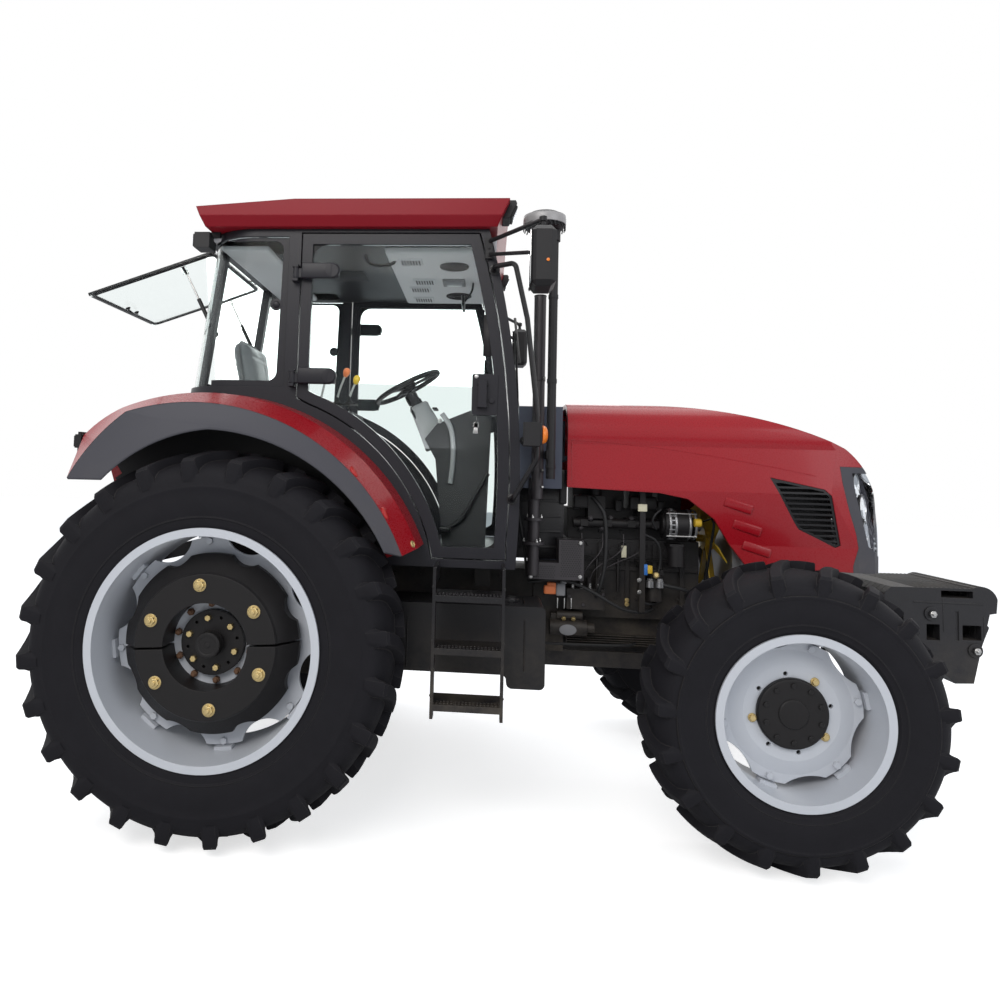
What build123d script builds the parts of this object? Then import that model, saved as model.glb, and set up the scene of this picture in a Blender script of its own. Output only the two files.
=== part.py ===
"""Farm tractor with a glazed cab, open engine sides, front weights and a rear three-point hitch.

Millimetres. +X points forwards, +Y to the driver's left and +Z up. The origin lies on the ground,
midway between the rear wheels and straight below their axle.
"""
from build123d import *
from math import atan2, cos, degrees, hypot, pi, radians, sin
import os

os.makedirs("parts", exist_ok=True)

# ---------------------------------------------------------------- driving dimensions
WHEELBASE = 2490.0
SEAT_GAP = 0.3            # play left where two pieces rest on each other
RUN_GAP = 8.0             # play left between pieces that move past each other

# rear wheels
REAR_R = 845.0            # tyre radius over the lugs
REAR_W = 430.0            # tyre width
REAR_Y = 963.0            # centre plane of the wheel
REAR_BARREL_R = 482.0     # rim barrel that the beads sit on
REAR_FLANGE_R = 508.0
REAR_RIM_W = 380.0        # between the rim flanges
REAR_LUGS = 24            # lugs on each side of the tread
REAR_LUG_H = 44.0
REAR_FALL = 42.0          # lower at the shoulders than at the centre line
REAR_DISC_Z = 4.0         # disc's inner face at the hub, outwards of the wheel's centre plane
REAR_DISH = 26.0          # how far the disc falls back towards the barrel
REAR_PILOT_R = 141.0
REAR_HUB_FACE = 48.0
REAR_CAP_FACE = 113.0
REAR_HOUSING_END = 868.0  # outer end of the rear axle housing
REAR_NUT_R = 166.0        # circle of the wheel nuts
REAR_LUG_BOLT_R = 438.0
AXLE_SHAFT_R = 60.0
WEIGHT_RING_R = 389.0
WEIGHT_FACE_R = 307.0     # outer edge of its flat face
WEIGHT_BORE_R = 185.0
WEIGHT_RING_T = 128.0
WEIGHT_EDGE_T = 28.0
WEIGHT_BOLT_R = 262.0

# front wheels
FRONT_R = 641.0
FRONT_W = 362.0
FRONT_Y = 878.0
FRONT_BARREL_R = 330.0
FRONT_FLANGE_R = 355.0
FRONT_RIM_W = 305.0
FRONT_LUGS = 19
FRONT_LUG_H = 38.0
FRONT_FALL = 46.0
FRONT_DISC_Z = 4.0
FRONT_DISH = 14.0
FRONT_CAP_R = 147.0
FRONT_CAP_FACE = 42.0
FRONT_BOLT_R = 164.0
FRONT_BOLTS = (54.5, 189.5, 326.0)
FRONT_HOLES = (12.5, 98.5, 144.5, 234.5, 280.0)
KNUCKLE_FACE = 752.0      # knuckle's outer face
SPINDLE_R = 50.0
SPINDLE_LEN = 46.0

FLANGE_T = 12.0           # thickness of a rim flange
RIM_T = 9.0               # rim and disc plate
DISC_T = 14.0
STUD_R = 9.0              # wheel studs

# axles and steering
KINGPIN_Y = 640.0
KINGPIN_R = 34.0
AXLE_END_R = 74.0
STEER_LIMIT = 45.0
STEER_ARM_X = 170.0       # steering arm's pin behind the kingpin
DIFF_Y = 190.0            # front differential, left of the middle
AXLE_END_H = 196.0        # height of the axle's end boss
EAR_T = 34.0
EAR_R = 62.0
PIN_DEPTH = 42.0
STEER_CYL_W = 190.0       # half length of the steering cylinder
STEER_ROD_R = 15.0
ROD_Z = FRONT_R - AXLE_END_H / 2 - RUN_GAP - EAR_T - 26
AXLE_PIVOT_H = 92.0       # the axle's pivot above its centre
AXLE_PIVOT_R = 46.0

# cab
CAB_W = 720.0             # half width over the door plane
CAB_WALL = 42.0           # thickness of a post, rail or wall
CAB_TOP = 2790.0
CAB_BASE = 1174.0         # underside of the floor
CAB_FRONT = 1322.0        # foot of the windscreen pillars
CAB_REAR = -370.0         # rear wall up to the waist
CAB_REAR_TOP = -268.0
WAIST_Z = 1956.0
RISER_X = 300.0           # step in the floor in front of the rear axle
REAR_DECK = 1498.0        # raised floor over the rear axle
CORNER_R = 290.0          # rounded rear corners of the cab
GLASS_T = 8.0
GLASS_GAP = 3.0
WINDOW_Z = 2010.0         # lower edge of the rear and quarter windows
WINDOW_TOP = 2752.0
HATCH_W = 385.0           # half width of the opening rear window
HATCH_FOOT = 2032.0       # lower edge of the opening rear window
HATCH_HINGE = (-290.0, 2776.0)
HATCH_OPEN = 64.0         # degrees it is raised at rest
HATCH_T = 20.0
HATCH_BARREL_Y = 250.0
STRUT_Y = 360.0
STRUT_FOOT = (-298.0, 2330.0)
STRUT_HEAD_IN = 44.0      # inwards of the hinge line
STRUT_HEAD_LEN = 215.0    # along the rear window from its hinge
DOOR_T = 34.0
DOOR_GAP = 6.0
DOOR_BORDER = 52.0
DOOR_HINGES = (2050.0, 2562.0)
HINGE_H = 44.0
DOOR_PIN_X = 238.0
DOOR_PIN_Y = 748.0

# steering wheel
WHEEL_C = (720.0, 0.0, 2100.0)
WHEEL_TILT = 28.0
WHEEL_SHAFT_R = 12.0

# roof
ROOF_W = 790.0
ROOF_FRONT = 1262.0
ROOF_REAR = -262.0
ROOF_TOP = 2968.0
ROOF_EDGE = 2916.0
ROOF_T = 60.0

# fenders
FENDER_X = -120.0         # centre of the fender's arc
FENDER_Z = 880.0
FENDER_R = 1088.0
FENDER_T = 10.0
FENDER_Y = 1046.0         # outer edge of the fender's top
FLARE_Y = 1104.0          # outer edge of the flare
FLARE_R = 1018.0          # radius where the flare starts
FENDER_FRONT = 21.5       # degrees above the horizontal at the fender's front end

# bonnet
BONNET_REAR = 1585.0
BONNET_W = 436.0          # half width at the shoulder
BONNET_FOOT_W = 396.0     # half width at the lower edge
BONNET_TOP_W = 262.0
BONNET_TOP = 1994.0
BONNET_WALL = 22.0
BONNET_PIN = (1622.0, 1952.0)
BONNET_PIN_R = 6.0
BONNET_PIN_Y = 164.0
COWL_BACK = 17.0          # behind the box, in front of the foot of the windscreen pillars
RAIL_TUBE_Y = -846.0      # grab rails
SHOULDER_Z = 1900.0

# engine, frame and tank
ENGINE_REAR = 1600.0
ENGINE_FRONT = 2300.0
RAIL_Y = 168.0            # outer face of the side rails
TANK_Y = 748.0
FAN_X = 2392.0
FAN_Z = 1300.0
FAN_R = 285.0
FAN_SHAFT_R = 20.0
SUMP_TOP = 880.0          # joint between the block and the sump
BLOCK_W = 178.0           # half width of the cylinder block
HEAD_W = 150.0
FRAME_TOP = 905.0         # top of the front frame
FRAME_END = 3120.0
GEARBOX_W = 190.0
BELL_TOP = 1180.0
BELL_W = 205.0
PTO_Z = 700.0
PTO_R = 17.45
STEP_X0, STEP_X1 = 958.0, 1272.0
STEP_Y = 985.0
STEP_ZS = (608.0, 846.0, 1072.0)

# front weights
WEIGHTS = 12
WEIGHT_T = 46.0
WEIGHT_GAP = 3.0
WEIGHT_X = 3172.0          # rear edge of the plates
WEIGHT_BAR_TOP = 985.0    # bar that the plates hook over

# hitch
LINK_PIN_X = -150.0       # front pins of the lower links
LINK_PIN_Z = 560.0
LINK_Y = 235.0
LINK_LEN = 880.0
LIFT_LEN = 380.0          # lift arm, and lift rod's pin along the lower link
LIFT_PIN_X = -210.0
LIFT_PIN_Z = 1225.0
LIFT_SHAFT_R = 34.0
LIFT_ROD_OUT = 52.0       # lift rods outwards of the arms
LINK_DROP = 14.0          # degrees below level at rest
LINK_PIN_R = 14.0
TOP_LINK_PIN = (-390.0, 980.0)
TOP_PIN_R = 12.7
DRAWBAR_HOLE_R = 16.5


# ---------------------------------------------------------------- helpers
def outline(first, *steps):
    """Closed face from a first point and steps: (x, y) is a line, (mx, my, x, y) an arc."""
    edges, here = [], first
    for step in steps:
        if len(step) == 2:
            edges.append(Line(here, step))
        else:
            edges.append(ThreePointArc(here, step[:2], step[2:]))
        here = step[-2:]
    edges.append(Line(here, first))
    return make_face(edges)


def along_y(face, y0, y1):
    """Face drawn in X and Z, made solid from y0 to y1."""
    return extrude(Plane((0, y1, 0), x_dir=(1, 0, 0), z_dir=(0, -1, 0)) * face, y1 - y0)


def along_x(face, x0, x1):
    """Face drawn in Y and Z, made solid from x0 to x1."""
    return extrude(Plane((x0, 0, 0), x_dir=(0, 1, 0), z_dir=(1, 0, 0)) * face, x1 - x0)


def along_z(face, z0, z1):
    """Face drawn in X and Y, made solid from z0 to z1."""
    return extrude(Plane((0, 0, z0)) * face, z1 - z0)


def block(x0, x1, y0, y1, z0, z1):
    return Pos((x0 + x1) / 2, (y0 + y1) / 2, (z0 + z1) / 2) * Box(x1 - x0, y1 - y0, z1 - z0)


def rod(start, end, radius):
    """Round bar between two points."""
    a, b = Vector(*start), Vector(*end)
    return extrude(Plane(a, z_dir=b - a) * Circle(radius), (b - a).length)


def bar(start, end, width, height):
    """Flat bar between two points, its width across and its height upwards."""
    a, b = Vector(*start), Vector(*end)
    way = b - a
    across = Vector(0, 1, 0) if abs(way.X) + abs(way.Z) > 1e-6 else Vector(1, 0, 0)
    return extrude(Plane(a, x_dir=across, z_dir=way) * Rectangle(width, height), way.length)


def pipe(points, radius, bend):
    """Round bar along a bent line."""
    line = FilletPolyline(*points, radius=bend)
    start = Plane(line @ 0, z_dir=line % 0)
    return sweep(start * Circle(radius), path=line)


def left(shape):
    """The same piece on the other side."""
    return mirror(shape, about=Plane.XZ)


def both(shape):
    """A piece and its mirror image as two solids of one node."""
    return Compound(children=[shape, left(shape)])


def merged(*shapes):
    """All shapes fused into one."""
    whole = shapes[0]
    for shape in shapes[1:]:
        whole = whole + shape
    return whole


def ring_z(outer, inner, z0, z1):
    return along_z(Circle(outer) - Circle(inner), z0, z1)


def right_wheel_frame(centre_x, centre_y, centre_z):
    """Places a wheel that is drawn with its axis along +Z, pointing outwards, on the right side."""
    plane = Plane((centre_x, -centre_y, centre_z), x_dir=(1, 0, 0), z_dir=(0, -1, 0))
    return plane.location


NODES = {}


def save(name, shape):
    NODES[name] = shape
    export_step(shape, f"parts/{name}.step")


# ---------------------------------------------------------------- wheels
def tyre(radius, width, rim_w, barrel_r, flange_r, lugs, lug_h, fall):
    """Faceted carcass with lugs that meet the centre line in turn; the axis is +Z, outwards."""
    half = width / 2
    crown = radius - lug_h
    facets = 2 * lugs
    bead = rim_w / 2 - SEAT_GAP
    bore = (barrel_r + SEAT_GAP) / cos(pi / facets)
    wall = flange_r + 0.45 * (crown - flange_r)
    side = [(bead, bore), (bead, flange_r + 4), (half, wall), (half - 12, crown - fall - 24),
            (half - 60, crown - 0.5 * fall)]
    rings = [(-z, r) for z, r in side] + [(0, crown)] + [(z, r) for z, r in reversed(side)]
    step = 2 * pi / facets

    def corner(ring, index):
        z, r = rings[ring % len(rings)]
        return Vector(r * cos(index * step), r * sin(index * step), z)

    faces = []
    for ring in range(len(rings)):
        for index in range(facets):
            corners = [corner(ring, index), corner(ring, index + 1), corner(ring + 1, index + 1),
                       corner(ring + 1, index)]
            faces.append(Face(Wire.make_polygon(corners, close=True)))
    carcass = Solid(Shell(faces))
    reach = 0.42 * half               # half of the lug's length around the tread
    end = half - 5
    drop = degrees(atan2(fall, half))
    flat = Plane((radius - reach * reach / (2 * radius), 0, 0), x_dir=(0, 1, 0),
                 z_dir=(cos(radians(drop)), 0, sin(radians(drop))))
    footprint = outline((-reach, -2), (-0.52 * reach, -2), (0.44 * reach, 0.42 * end), (reach, end),
                        (0.30 * reach, end), (-0.16 * reach, 0.46 * end))
    depth = lug_h + 40
    lug = flat * extrude(Plane((0, 0, -depth)) * footprint, depth)
    other = mirror(lug, about=Plane.XY)
    pitch = 360 / lugs
    turn = 2.0
    bars = [Rot(0, 0, turn + pitch * index) * lug for index in range(lugs)]
    bars += [Rot(0, 0, turn + pitch * (index + 0.5)) * other for index in range(lugs)]
    return carcass.fuse(*bars)


def barrel(barrel_r, flange_r, rim_w):
    """Rim barrel with its two flanges."""
    edge = rim_w / 2
    tube = ring_z(barrel_r, barrel_r - RIM_T, -edge - FLANGE_T, edge + FLANGE_T)
    outer = ring_z(flange_r, barrel_r - RIM_T, edge, edge + FLANGE_T)
    inner = ring_z(flange_r, barrel_r - RIM_T, -edge - FLANGE_T, -edge)
    return merged(tube, outer, inner)


def bolts(count, circle_r, head_r, z0, z1, turn=0.0):
    """Ring of hexagon heads."""
    head = along_z(RegularPolygon(head_r, 6), z0, z1)
    return [Rot(0, 0, turn + 360 * index / count) * Pos(circle_r, 0, 0) * head for index in range(count)]


def scallops(edge, depth, radius, count, turn, z0, z1):
    """Round cutters that bite into an edge."""
    notch = Pos(edge + radius - depth, 0, 0) * along_z(Circle(radius), z0, z1)
    return [Rot(0, 0, turn + 360 / count * index) * notch for index in range(count)]


def dished(bore, bend, edge, face_z, dish):
    """Disc plate, flat at the hub, that falls back towards its edge."""
    z0, z1 = face_z, face_z + DISC_T
    profile = outline((bore, z0), (bend, z0), (bend + 60, z0 - dish), (edge, z0 - dish), (edge, z1 - dish),
                      (bend + 60, z1 - dish), (bend, z1), (bore, z1))
    return revolve(Plane.XZ * profile, Axis.Z)


def rim_lug(barrel_r, bolt_r, width, reach, z):
    """Bracket from the barrel to the disc with its bolt; z is the disc's inner face there."""
    foot = block(bolt_r - 26, barrel_r - 4, -width, width, z - 14, z + 1)
    wall = block(barrel_r - RIM_T - 16, barrel_r - 4, -width, width, z - 14, z + reach)
    bolt = Pos(bolt_r, 0, 0) * along_z(RegularPolygon(16, 6), z + DISC_T - 1, z + DISC_T + 14)
    return merged(foot, wall, bolt)


def rear_rim():
    edge = REAR_BARREL_R - RIM_T - 18
    disc = dished(REAR_PILOT_R + SEAT_GAP, 250, edge, REAR_DISC_Z, REAR_DISH)
    disc -= scallops(edge, 58, 120, 8, 29.5, -100, 100)
    lug = rim_lug(REAR_BARREL_R, REAR_LUG_BOLT_R, 40, 40, REAR_DISC_Z - REAR_DISH)
    shape = merged(barrel(REAR_BARREL_R, REAR_FLANGE_R, REAR_RIM_W), disc)
    shape = shape.fuse(*[Rot(0, 0, 45 * index + 7) * lug for index in range(8)])
    hole = Pos(REAR_NUT_R, 0, 0) * along_z(Circle(STUD_R + SEAT_GAP), REAR_DISC_Z - 1, REAR_DISC_Z + DISC_T + 1)
    return shape - [Rot(0, 0, 36 * index + 24) * hole for index in range(10)]


def rear_hub():
    """Axle shaft, flange, wheel nuts, inner flange with its bolts and the cap, turning with the rear wheel."""
    face = REAR_DISC_Z + DISC_T
    shaft = along_z(Circle(AXLE_SHAFT_R), REAR_HOUSING_END - REAR_Y - 70, REAR_DISC_Z - 20)
    flange = along_z(Circle(205), REAR_DISC_Z - 34, REAR_DISC_Z - SEAT_GAP)
    pilot = along_z(Circle(REAR_PILOT_R), REAR_DISC_Z - 34, REAR_HUB_FACE)
    cap = along_z(Circle(54), REAR_HUB_FACE - 1, REAR_CAP_FACE)
    stud = Pos(REAR_NUT_R, 0, 0) * merged(along_z(Circle(STUD_R), REAR_DISC_Z - 20, face + 26),
                                          along_z(RegularPolygon(14, 6), face + SEAT_GAP, face + 18))
    studs = [Rot(0, 0, 36 * index + 24) * stud for index in range(10)]
    heads = bolts(6, 108, 13, REAR_HUB_FACE - 4, REAR_HUB_FACE + 16, turn=42)
    shape = shaft.fuse(flange, pilot, cap, *studs, *heads)
    hole = Pos(112, 0, 0) * along_z(Circle(7), REAR_HUB_FACE - 20, REAR_HUB_FACE + 1)
    return shape - [Rot(0, 0, 60 * index + 72) * hole for index in range(6)]


def wheel_weight():
    """Two cast halves around the hub, sloping back to a scalloped edge, with six big bolts."""
    z0 = REAR_DISC_Z + DISC_T + SEAT_GAP
    z1 = z0 + WEIGHT_RING_T
    profile = outline((WEIGHT_BORE_R, z0), (WEIGHT_BORE_R + 90, z0), (WEIGHT_RING_R, z0 + 12),
                      (WEIGHT_RING_R, z0 + 12 + WEIGHT_EDGE_T), (WEIGHT_FACE_R + 8, z1 - 12), (WEIGHT_FACE_R, z1),
                      (WEIGHT_BORE_R, z1))
    plate = revolve(Plane.XZ * profile, Axis.Z)
    plate -= scallops(WEIGHT_RING_R, 26, 84, 8, 25, z0 - 1, z1 + 1)
    plate -= Rot(0, 0, 4) * block(-REAR_R, REAR_R, -5, 5, z0 - 1, z1 + 1)
    washer = along_z(Circle(27), z1 - 2, z1 + 4)
    washers = [Rot(0, 0, 37 + 60 * index) * Pos(WEIGHT_BOLT_R, 0, 0) * washer for index in range(6)]
    heads = bolts(6, WEIGHT_BOLT_R, 21, z1 + 3, z1 + 16, turn=37)
    return Compound(children=plate.fuse(*washers, *heads).solids())


def front_rim():
    edge = 300
    disc = dished(FRONT_CAP_R + SEAT_GAP, 200, edge, FRONT_DISC_Z, FRONT_DISH)
    disc -= scallops(edge, 30, 210, 6, 42, -100, 100)
    lug = rim_lug(FRONT_BARREL_R, FRONT_BARREL_R - 50, 36, 34, FRONT_DISC_Z - FRONT_DISH)
    shape = merged(barrel(FRONT_BARREL_R, FRONT_FLANGE_R, FRONT_RIM_W), disc)
    shape = shape.fuse(*[Rot(0, 0, 60 * index + 12) * lug for index in range(6)])
    hole = Pos(FRONT_BOLT_R, 0, 0) * along_z(Circle(STUD_R + SEAT_GAP), FRONT_DISC_Z - 1,
                                             FRONT_DISC_Z + DISC_T + 1)
    return shape - [Rot(0, 0, angle) * hole for angle in FRONT_HOLES + FRONT_BOLTS]


def front_hub():
    """Final drive drum with the wheel's bolts, turning on the knuckle's spindle."""
    back = KNUCKLE_FACE + RUN_GAP - FRONT_Y
    face = FRONT_DISC_Z + DISC_T
    drum = along_z(Circle(FRONT_CAP_R), back, FRONT_CAP_FACE)
    drum = fillet(drum.edges().group_by(Axis.Z)[-1], 10)
    flange = ring_z(196, FRONT_CAP_R - 1, FRONT_DISC_Z - 16, FRONT_DISC_Z - SEAT_GAP)
    spindle = along_z(Circle(SPINDLE_R + 0.05), back - 1, back + SPINDLE_LEN)
    bolt = Pos(FRONT_BOLT_R, 0, 0) * merged(along_z(Circle(STUD_R), FRONT_DISC_Z - 8, face + 13),
                                            along_z(Circle(16), face + SEAT_GAP, face + 3),
                                            along_z(RegularPolygon(13, 6), face + 2, face + 11))
    return drum.fuse(flange, *[Rot(0, 0, angle) * bolt for angle in FRONT_BOLTS]) - spindle


def wheels():
    rear = right_wheel_frame(0, REAR_Y, REAR_R)
    front = right_wheel_frame(WHEELBASE, FRONT_Y, FRONT_R)
    rear_tyre = tyre(REAR_R, REAR_W, REAR_RIM_W, REAR_BARREL_R, REAR_FLANGE_R, REAR_LUGS, REAR_LUG_H,
                     REAR_FALL)
    front_tyre = tyre(FRONT_R, FRONT_W, FRONT_RIM_W, FRONT_BARREL_R, FRONT_FLANGE_R, FRONT_LUGS, FRONT_LUG_H,
                      FRONT_FALL)
    pieces = [("rear_tyre", rear, rear_tyre), ("rear_rim", rear, rear_rim()), ("rear_hub", rear, rear_hub()),
              ("wheel_weight", rear, wheel_weight()), ("front_tyre", front, front_tyre),
              ("front_rim", front, front_rim()), ("front_hub", front, front_hub())]
    for name, place, shape in pieces:
        shape = place * shape
        save(f"{name}_right", shape)
        save(f"{name}_left", left(shape))


# ---------------------------------------------------------------- front axle and steering
def knuckle():
    """Right knuckle: two ears on the kingpin, a plate with the spindle, and the steering arm."""
    x, y, z = WHEELBASE, -KINGPIN_Y, FRONT_R
    near = AXLE_END_H / 2 + RUN_GAP
    shape = block(x - 78, x + 78, -KNUCKLE_FACE, y - AXLE_END_R - RUN_GAP, z - near - EAR_T, z + near + EAR_T)
    for hand in (-1, 1):
        z0, z1 = sorted((z + hand * near, z + hand * (near + EAR_T)))
        ear = Pos(x, y, 0) * along_z(Circle(EAR_R), z0, z1)
        web = block(x - EAR_R, x + EAR_R, -KNUCKLE_FACE, y, z0, z1)
        pin_0, pin_1 = sorted((z + hand * (near + 4), z + hand * (AXLE_END_H / 2 - PIN_DEPTH)))
        shape = merged(shape, ear, web, Pos(x, y, 0) * along_z(Circle(KINGPIN_R), pin_0, pin_1))
    spindle = rod((x, -KNUCKLE_FACE + 1, z), (x, -KNUCKLE_FACE - RUN_GAP - SPINDLE_LEN + 2, z), SPINDLE_R)
    arm_z = z - near - EAR_T
    arm = block(x - STEER_ARM_X - 26, x, y - 26, y + 26, arm_z, arm_z + EAR_T)
    return merged(shape, spindle, arm)


def front_axle():
    x, z = WHEELBASE, FRONT_R
    end = Pos(x, -KINGPIN_Y, 0) * along_z(Circle(AXLE_END_R), z - AXLE_END_H / 2, z + AXLE_END_H / 2)
    for hand in (-1, 1):
        z0, z1 = sorted((z + hand * (AXLE_END_H / 2 + 1), z + hand * (AXLE_END_H / 2 - PIN_DEPTH - 1)))
        end -= Pos(x, -KINGPIN_Y, 0) * along_z(Circle(KINGPIN_R + 0.05), z0, z1)
    beam = block(x - 58, x + 58, -KINGPIN_Y + AXLE_END_R - 12, 0, z - 52, z + 52)
    half = merged(end, beam)
    casing = rod((x, DIFF_Y - 90, z), (x, DIFF_Y + 90, z), 118)
    nose = rod((x - 60, DIFF_Y, z), (x - 215, DIFF_Y, z), 66)
    pivot = rod((x - 124, 0, z + AXLE_PIVOT_H), (x + 124, 0, z + AXLE_PIVOT_H), AXLE_PIVOT_R)
    saddle = block(x - 58, x + 58, -60, 60, z + 30, z + AXLE_PIVOT_H)
    cylinder = rod((x - STEER_ARM_X, -STEER_CYL_W, ROD_Z), (x - STEER_ARM_X, STEER_CYL_W, ROD_Z), 36)
    cylinder -= rod((x - STEER_ARM_X, -STEER_CYL_W - 1, ROD_Z), (x - STEER_ARM_X, STEER_CYL_W + 1, ROD_Z),
                    STEER_ROD_R + 0.05)
    mount = block(x - STEER_ARM_X + 30, x - 50, -STEER_CYL_W + 6, -STEER_CYL_W + 46, ROD_Z - 24, z - 10)
    return merged(half, left(half), casing, nose, pivot, saddle, cylinder, mount, left(mount))


def steering_rod():
    """Rod of the two-ended steering cylinder with an eye under each steering arm."""
    x = WHEELBASE - STEER_ARM_X
    y = KINGPIN_Y
    shape = rod((x, -y, ROD_Z), (x, y, ROD_Z), STEER_ROD_R)
    for hand in (-1, 1):
        shape = merged(shape, Pos(x, hand * y, 0) * along_z(Circle(28), ROD_Z - 18, ROD_Z + 18))
    return shape


# ---------------------------------------------------------------- engine, frame and driveline
def engine():
    """Cylinder block with sump, head, rocker covers and the timing case at its front."""
    x0, x1 = ENGINE_REAR, ENGINE_FRONT
    shape = block(x0, x1, -BLOCK_W, BLOCK_W, SUMP_TOP, 1290)
    shape = merged(shape, block(x0 + 20, x1 - 20, -138, 138, 720, SUMP_TOP + 1))
    shape = merged(shape, block(x0 + 20, x1 - 40, -HEAD_W, HEAD_W, 1289, 1450))
    for index in range(4):
        x = x0 + 48 + 150 * index
        shape = merged(shape, block(x, x + 122, -128, 128, 1449, 1556))
    for index in range(5):
        x = x0 + 40 + 140 * index
        shape = merged(shape, block(x, x + 22, -BLOCK_W - 14, -BLOCK_W + 1, 930, 1270))
    for index in range(4):
        x = x0 + 120 + 140 * index
        shape = merged(shape, rod((x, -BLOCK_W - 8, 1225), (x, -BLOCK_W + 1, 1225), 26))
    shape = merged(shape, block(x0 + 6, x1 - 6, -BLOCK_W - 10, BLOCK_W + 10, 1130, 1152))
    boss = rod((x1 - 60, 0, FAN_Z), (x1 + 22, 0, FAN_Z), 46)
    return merged(shape, boss) - rod((x1 - 44, 0, FAN_Z), (x1 + 23, 0, FAN_Z), FAN_SHAFT_R + 0.05)


def auxiliaries():
    """Manifold, alternator, injection pump, filters and starter on the engine's right side, and the
    inlet pipe, filter and pump on its left."""
    seat = -HEAD_W - SEAT_GAP
    side = -BLOCK_W - 14 - SEAT_GAP
    pieces = [rod((1640, -232, 1378), (2080, -232, 1378), 25)]
    for index in range(4):
        x = 1668 + 122 * index
        pieces.append(block(x, x + 54, -232, seat, 1352, 1404))
        pieces.append(block(x + 8, x + 46, -262, -232, 1360, 1396))
    pieces.append(block(1712, 1800, -270, seat, 1402, 1520))
    pieces.append(rod((1756, -210, 1519), (1756, -210, 1560), 34))
    manifold = merged(*pieces)
    alternator = merged(rod((2096, -268, 1385), (2226, -268, 1385), 76), rod((2225, -268, 1385), (2262, -268, 1385), 34),
                        block(2130, 2190, -268, seat, 1310, 1352), rod((2084, -268, 1385), (2097, -268, 1385), 52))
    pump = block(1606, 1800, -296, side, 936, 1040)
    for index in range(4):
        pump = merged(pump, rod((1640 + 42 * index, -250, 1039), (1640 + 42 * index, -250, 1092), 15))
    oil_filter = merged(rod((2052, -252, 990), (2052, -252, 1128), 46), block(2010, 2094, -290, side, 1124, 1150))
    fuel_filter = merged(rod((2164, -262, 1170), (2164, -262, 1276), 42), block(2124, 2194, -296, -BLOCK_W - SEAT_GAP, 1272, 1284))
    z = 836
    starter = merged(rod((1524, -262, z), (1712, -262, z), 40), rod((1712, -262, z), (1752, -262, z), 24),
                     rod((1560, -262, z + 62), (1690, -262, z + 62), 24),
                     block(1530, 1560, -262, -BELL_W - SEAT_GAP, z - 36, z + 70),
                     block(1640, 1680, -266, -258, z, z + 62))
    tube = merged(block(1964, 1992, -342, -322, 940, 1550), block(1964, 1992, -330, side, 1170, 1190),
                  block(1964, 1992, -330, seat, 1420, 1436))
    inlet = rod((1640, 224, 1400), (2080, 224, 1400), 34)
    for index in range(4):
        x = 1680 + 122 * index
        inlet = merged(inlet, block(x, x + 46, -seat, 230, 1378, 1420))
    cleaner = merged(rod((1700, 262, 1060), (1700, 262, 1210), 50), block(1650, 1750, BLOCK_W + SEAT_GAP, 262, 1156, 1220))
    steering_pump = merged(rod((2120, 246, 1080), (2250, 246, 1080), 52), block(2160, 2230, BLOCK_W + SEAT_GAP, 246, 1040, 1120))
    return Compound(children=[manifold, alternator, pump, oil_filter, fuel_filter, starter, tube, inlet, cleaner,
                              steering_pump])


def fan():
    hub = rod((FAN_X - 24, 0, FAN_Z), (FAN_X + 24, 0, FAN_Z), 62)
    shaft = rod((ENGINE_FRONT - 40, 0, FAN_Z), (FAN_X - 20, 0, FAN_Z), FAN_SHAFT_R)
    blade = Pos(FAN_X, 0, FAN_Z) * Rot(0, 0, 32) * Pos(0, 0, (FAN_R + 50) / 2) * Box(5, 92, FAN_R - 50)
    turned = [Pos(FAN_X, 0, FAN_Z) * Rot(360 / 7 * index, 0, 0) * Pos(-FAN_X, 0, -FAN_Z) * blade
              for index in range(7)]
    return merged(hub, shaft, *turned)


def radiator():
    core = block(2470, 2590, -345, 345, 930, 1760)
    shroud = block(2425, 2471, -330, 330, 960, 1660)
    shroud -= rod((2400, 0, FAN_Z), (2480, 0, FAN_Z), FAN_R + 22)
    foot = block(2470, 2590, -150, 150, FRAME_TOP + SEAT_GAP, 931)
    return merged(core, shroud, foot)


def front_frame():
    """Side rails beside the sump and the cast frame that holds the axle, radiator and weights."""
    low, deck = SUMP_TOP - SEAT_GAP, FRAME_TOP
    rail = block(1480, 2240, -RAIL_Y, -RAIL_Y + 26, 618, 700)
    riser = block(2190, 2240, -RAIL_Y, -RAIL_Y + 26, 618, low)
    under = block(2190, ENGINE_FRONT + 30, -RAIL_Y, -RAIL_Y + 26, 790, low)
    beam = block(ENGINE_FRONT + 20, FRAME_END, -RAIL_Y, -RAIL_Y + 40, 790, deck)
    side = merged(rail, riser, under, beam)
    top = block(2420, FRAME_END, -RAIL_Y, RAIL_Y, deck - 26, deck)
    front = block(FRAME_END - 60, FRAME_END, -RAIL_Y, RAIL_Y, 700, deck)
    pivot_z = FRONT_R + AXLE_PIVOT_H
    shape = merged(side, left(side), top, front)
    for hand in (-1, 1):
        x0, x1 = sorted((WHEELBASE + hand * 78, WHEELBASE + hand * 126))
        shape = merged(shape, block(x0, x1, -88, 88, pivot_z - 84, deck))
    shape = merged(shape, block(WHEELBASE - 126, WHEELBASE + 126, -RAIL_Y, RAIL_Y, 826, deck))
    carrier = block(FRAME_END - 2, WEIGHT_X + 70, -292, 292, 905, WEIGHT_BAR_TOP)
    nose = block(FRAME_END - 60, FRAME_END, -292, 292, 840, WEIGHT_BAR_TOP)
    bore = rod((WHEELBASE - 130, 0, pivot_z), (WHEELBASE + 130, 0, pivot_z), AXLE_PIVOT_R + 0.05)
    return merged(shape, carrier, nose) - bore


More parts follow.
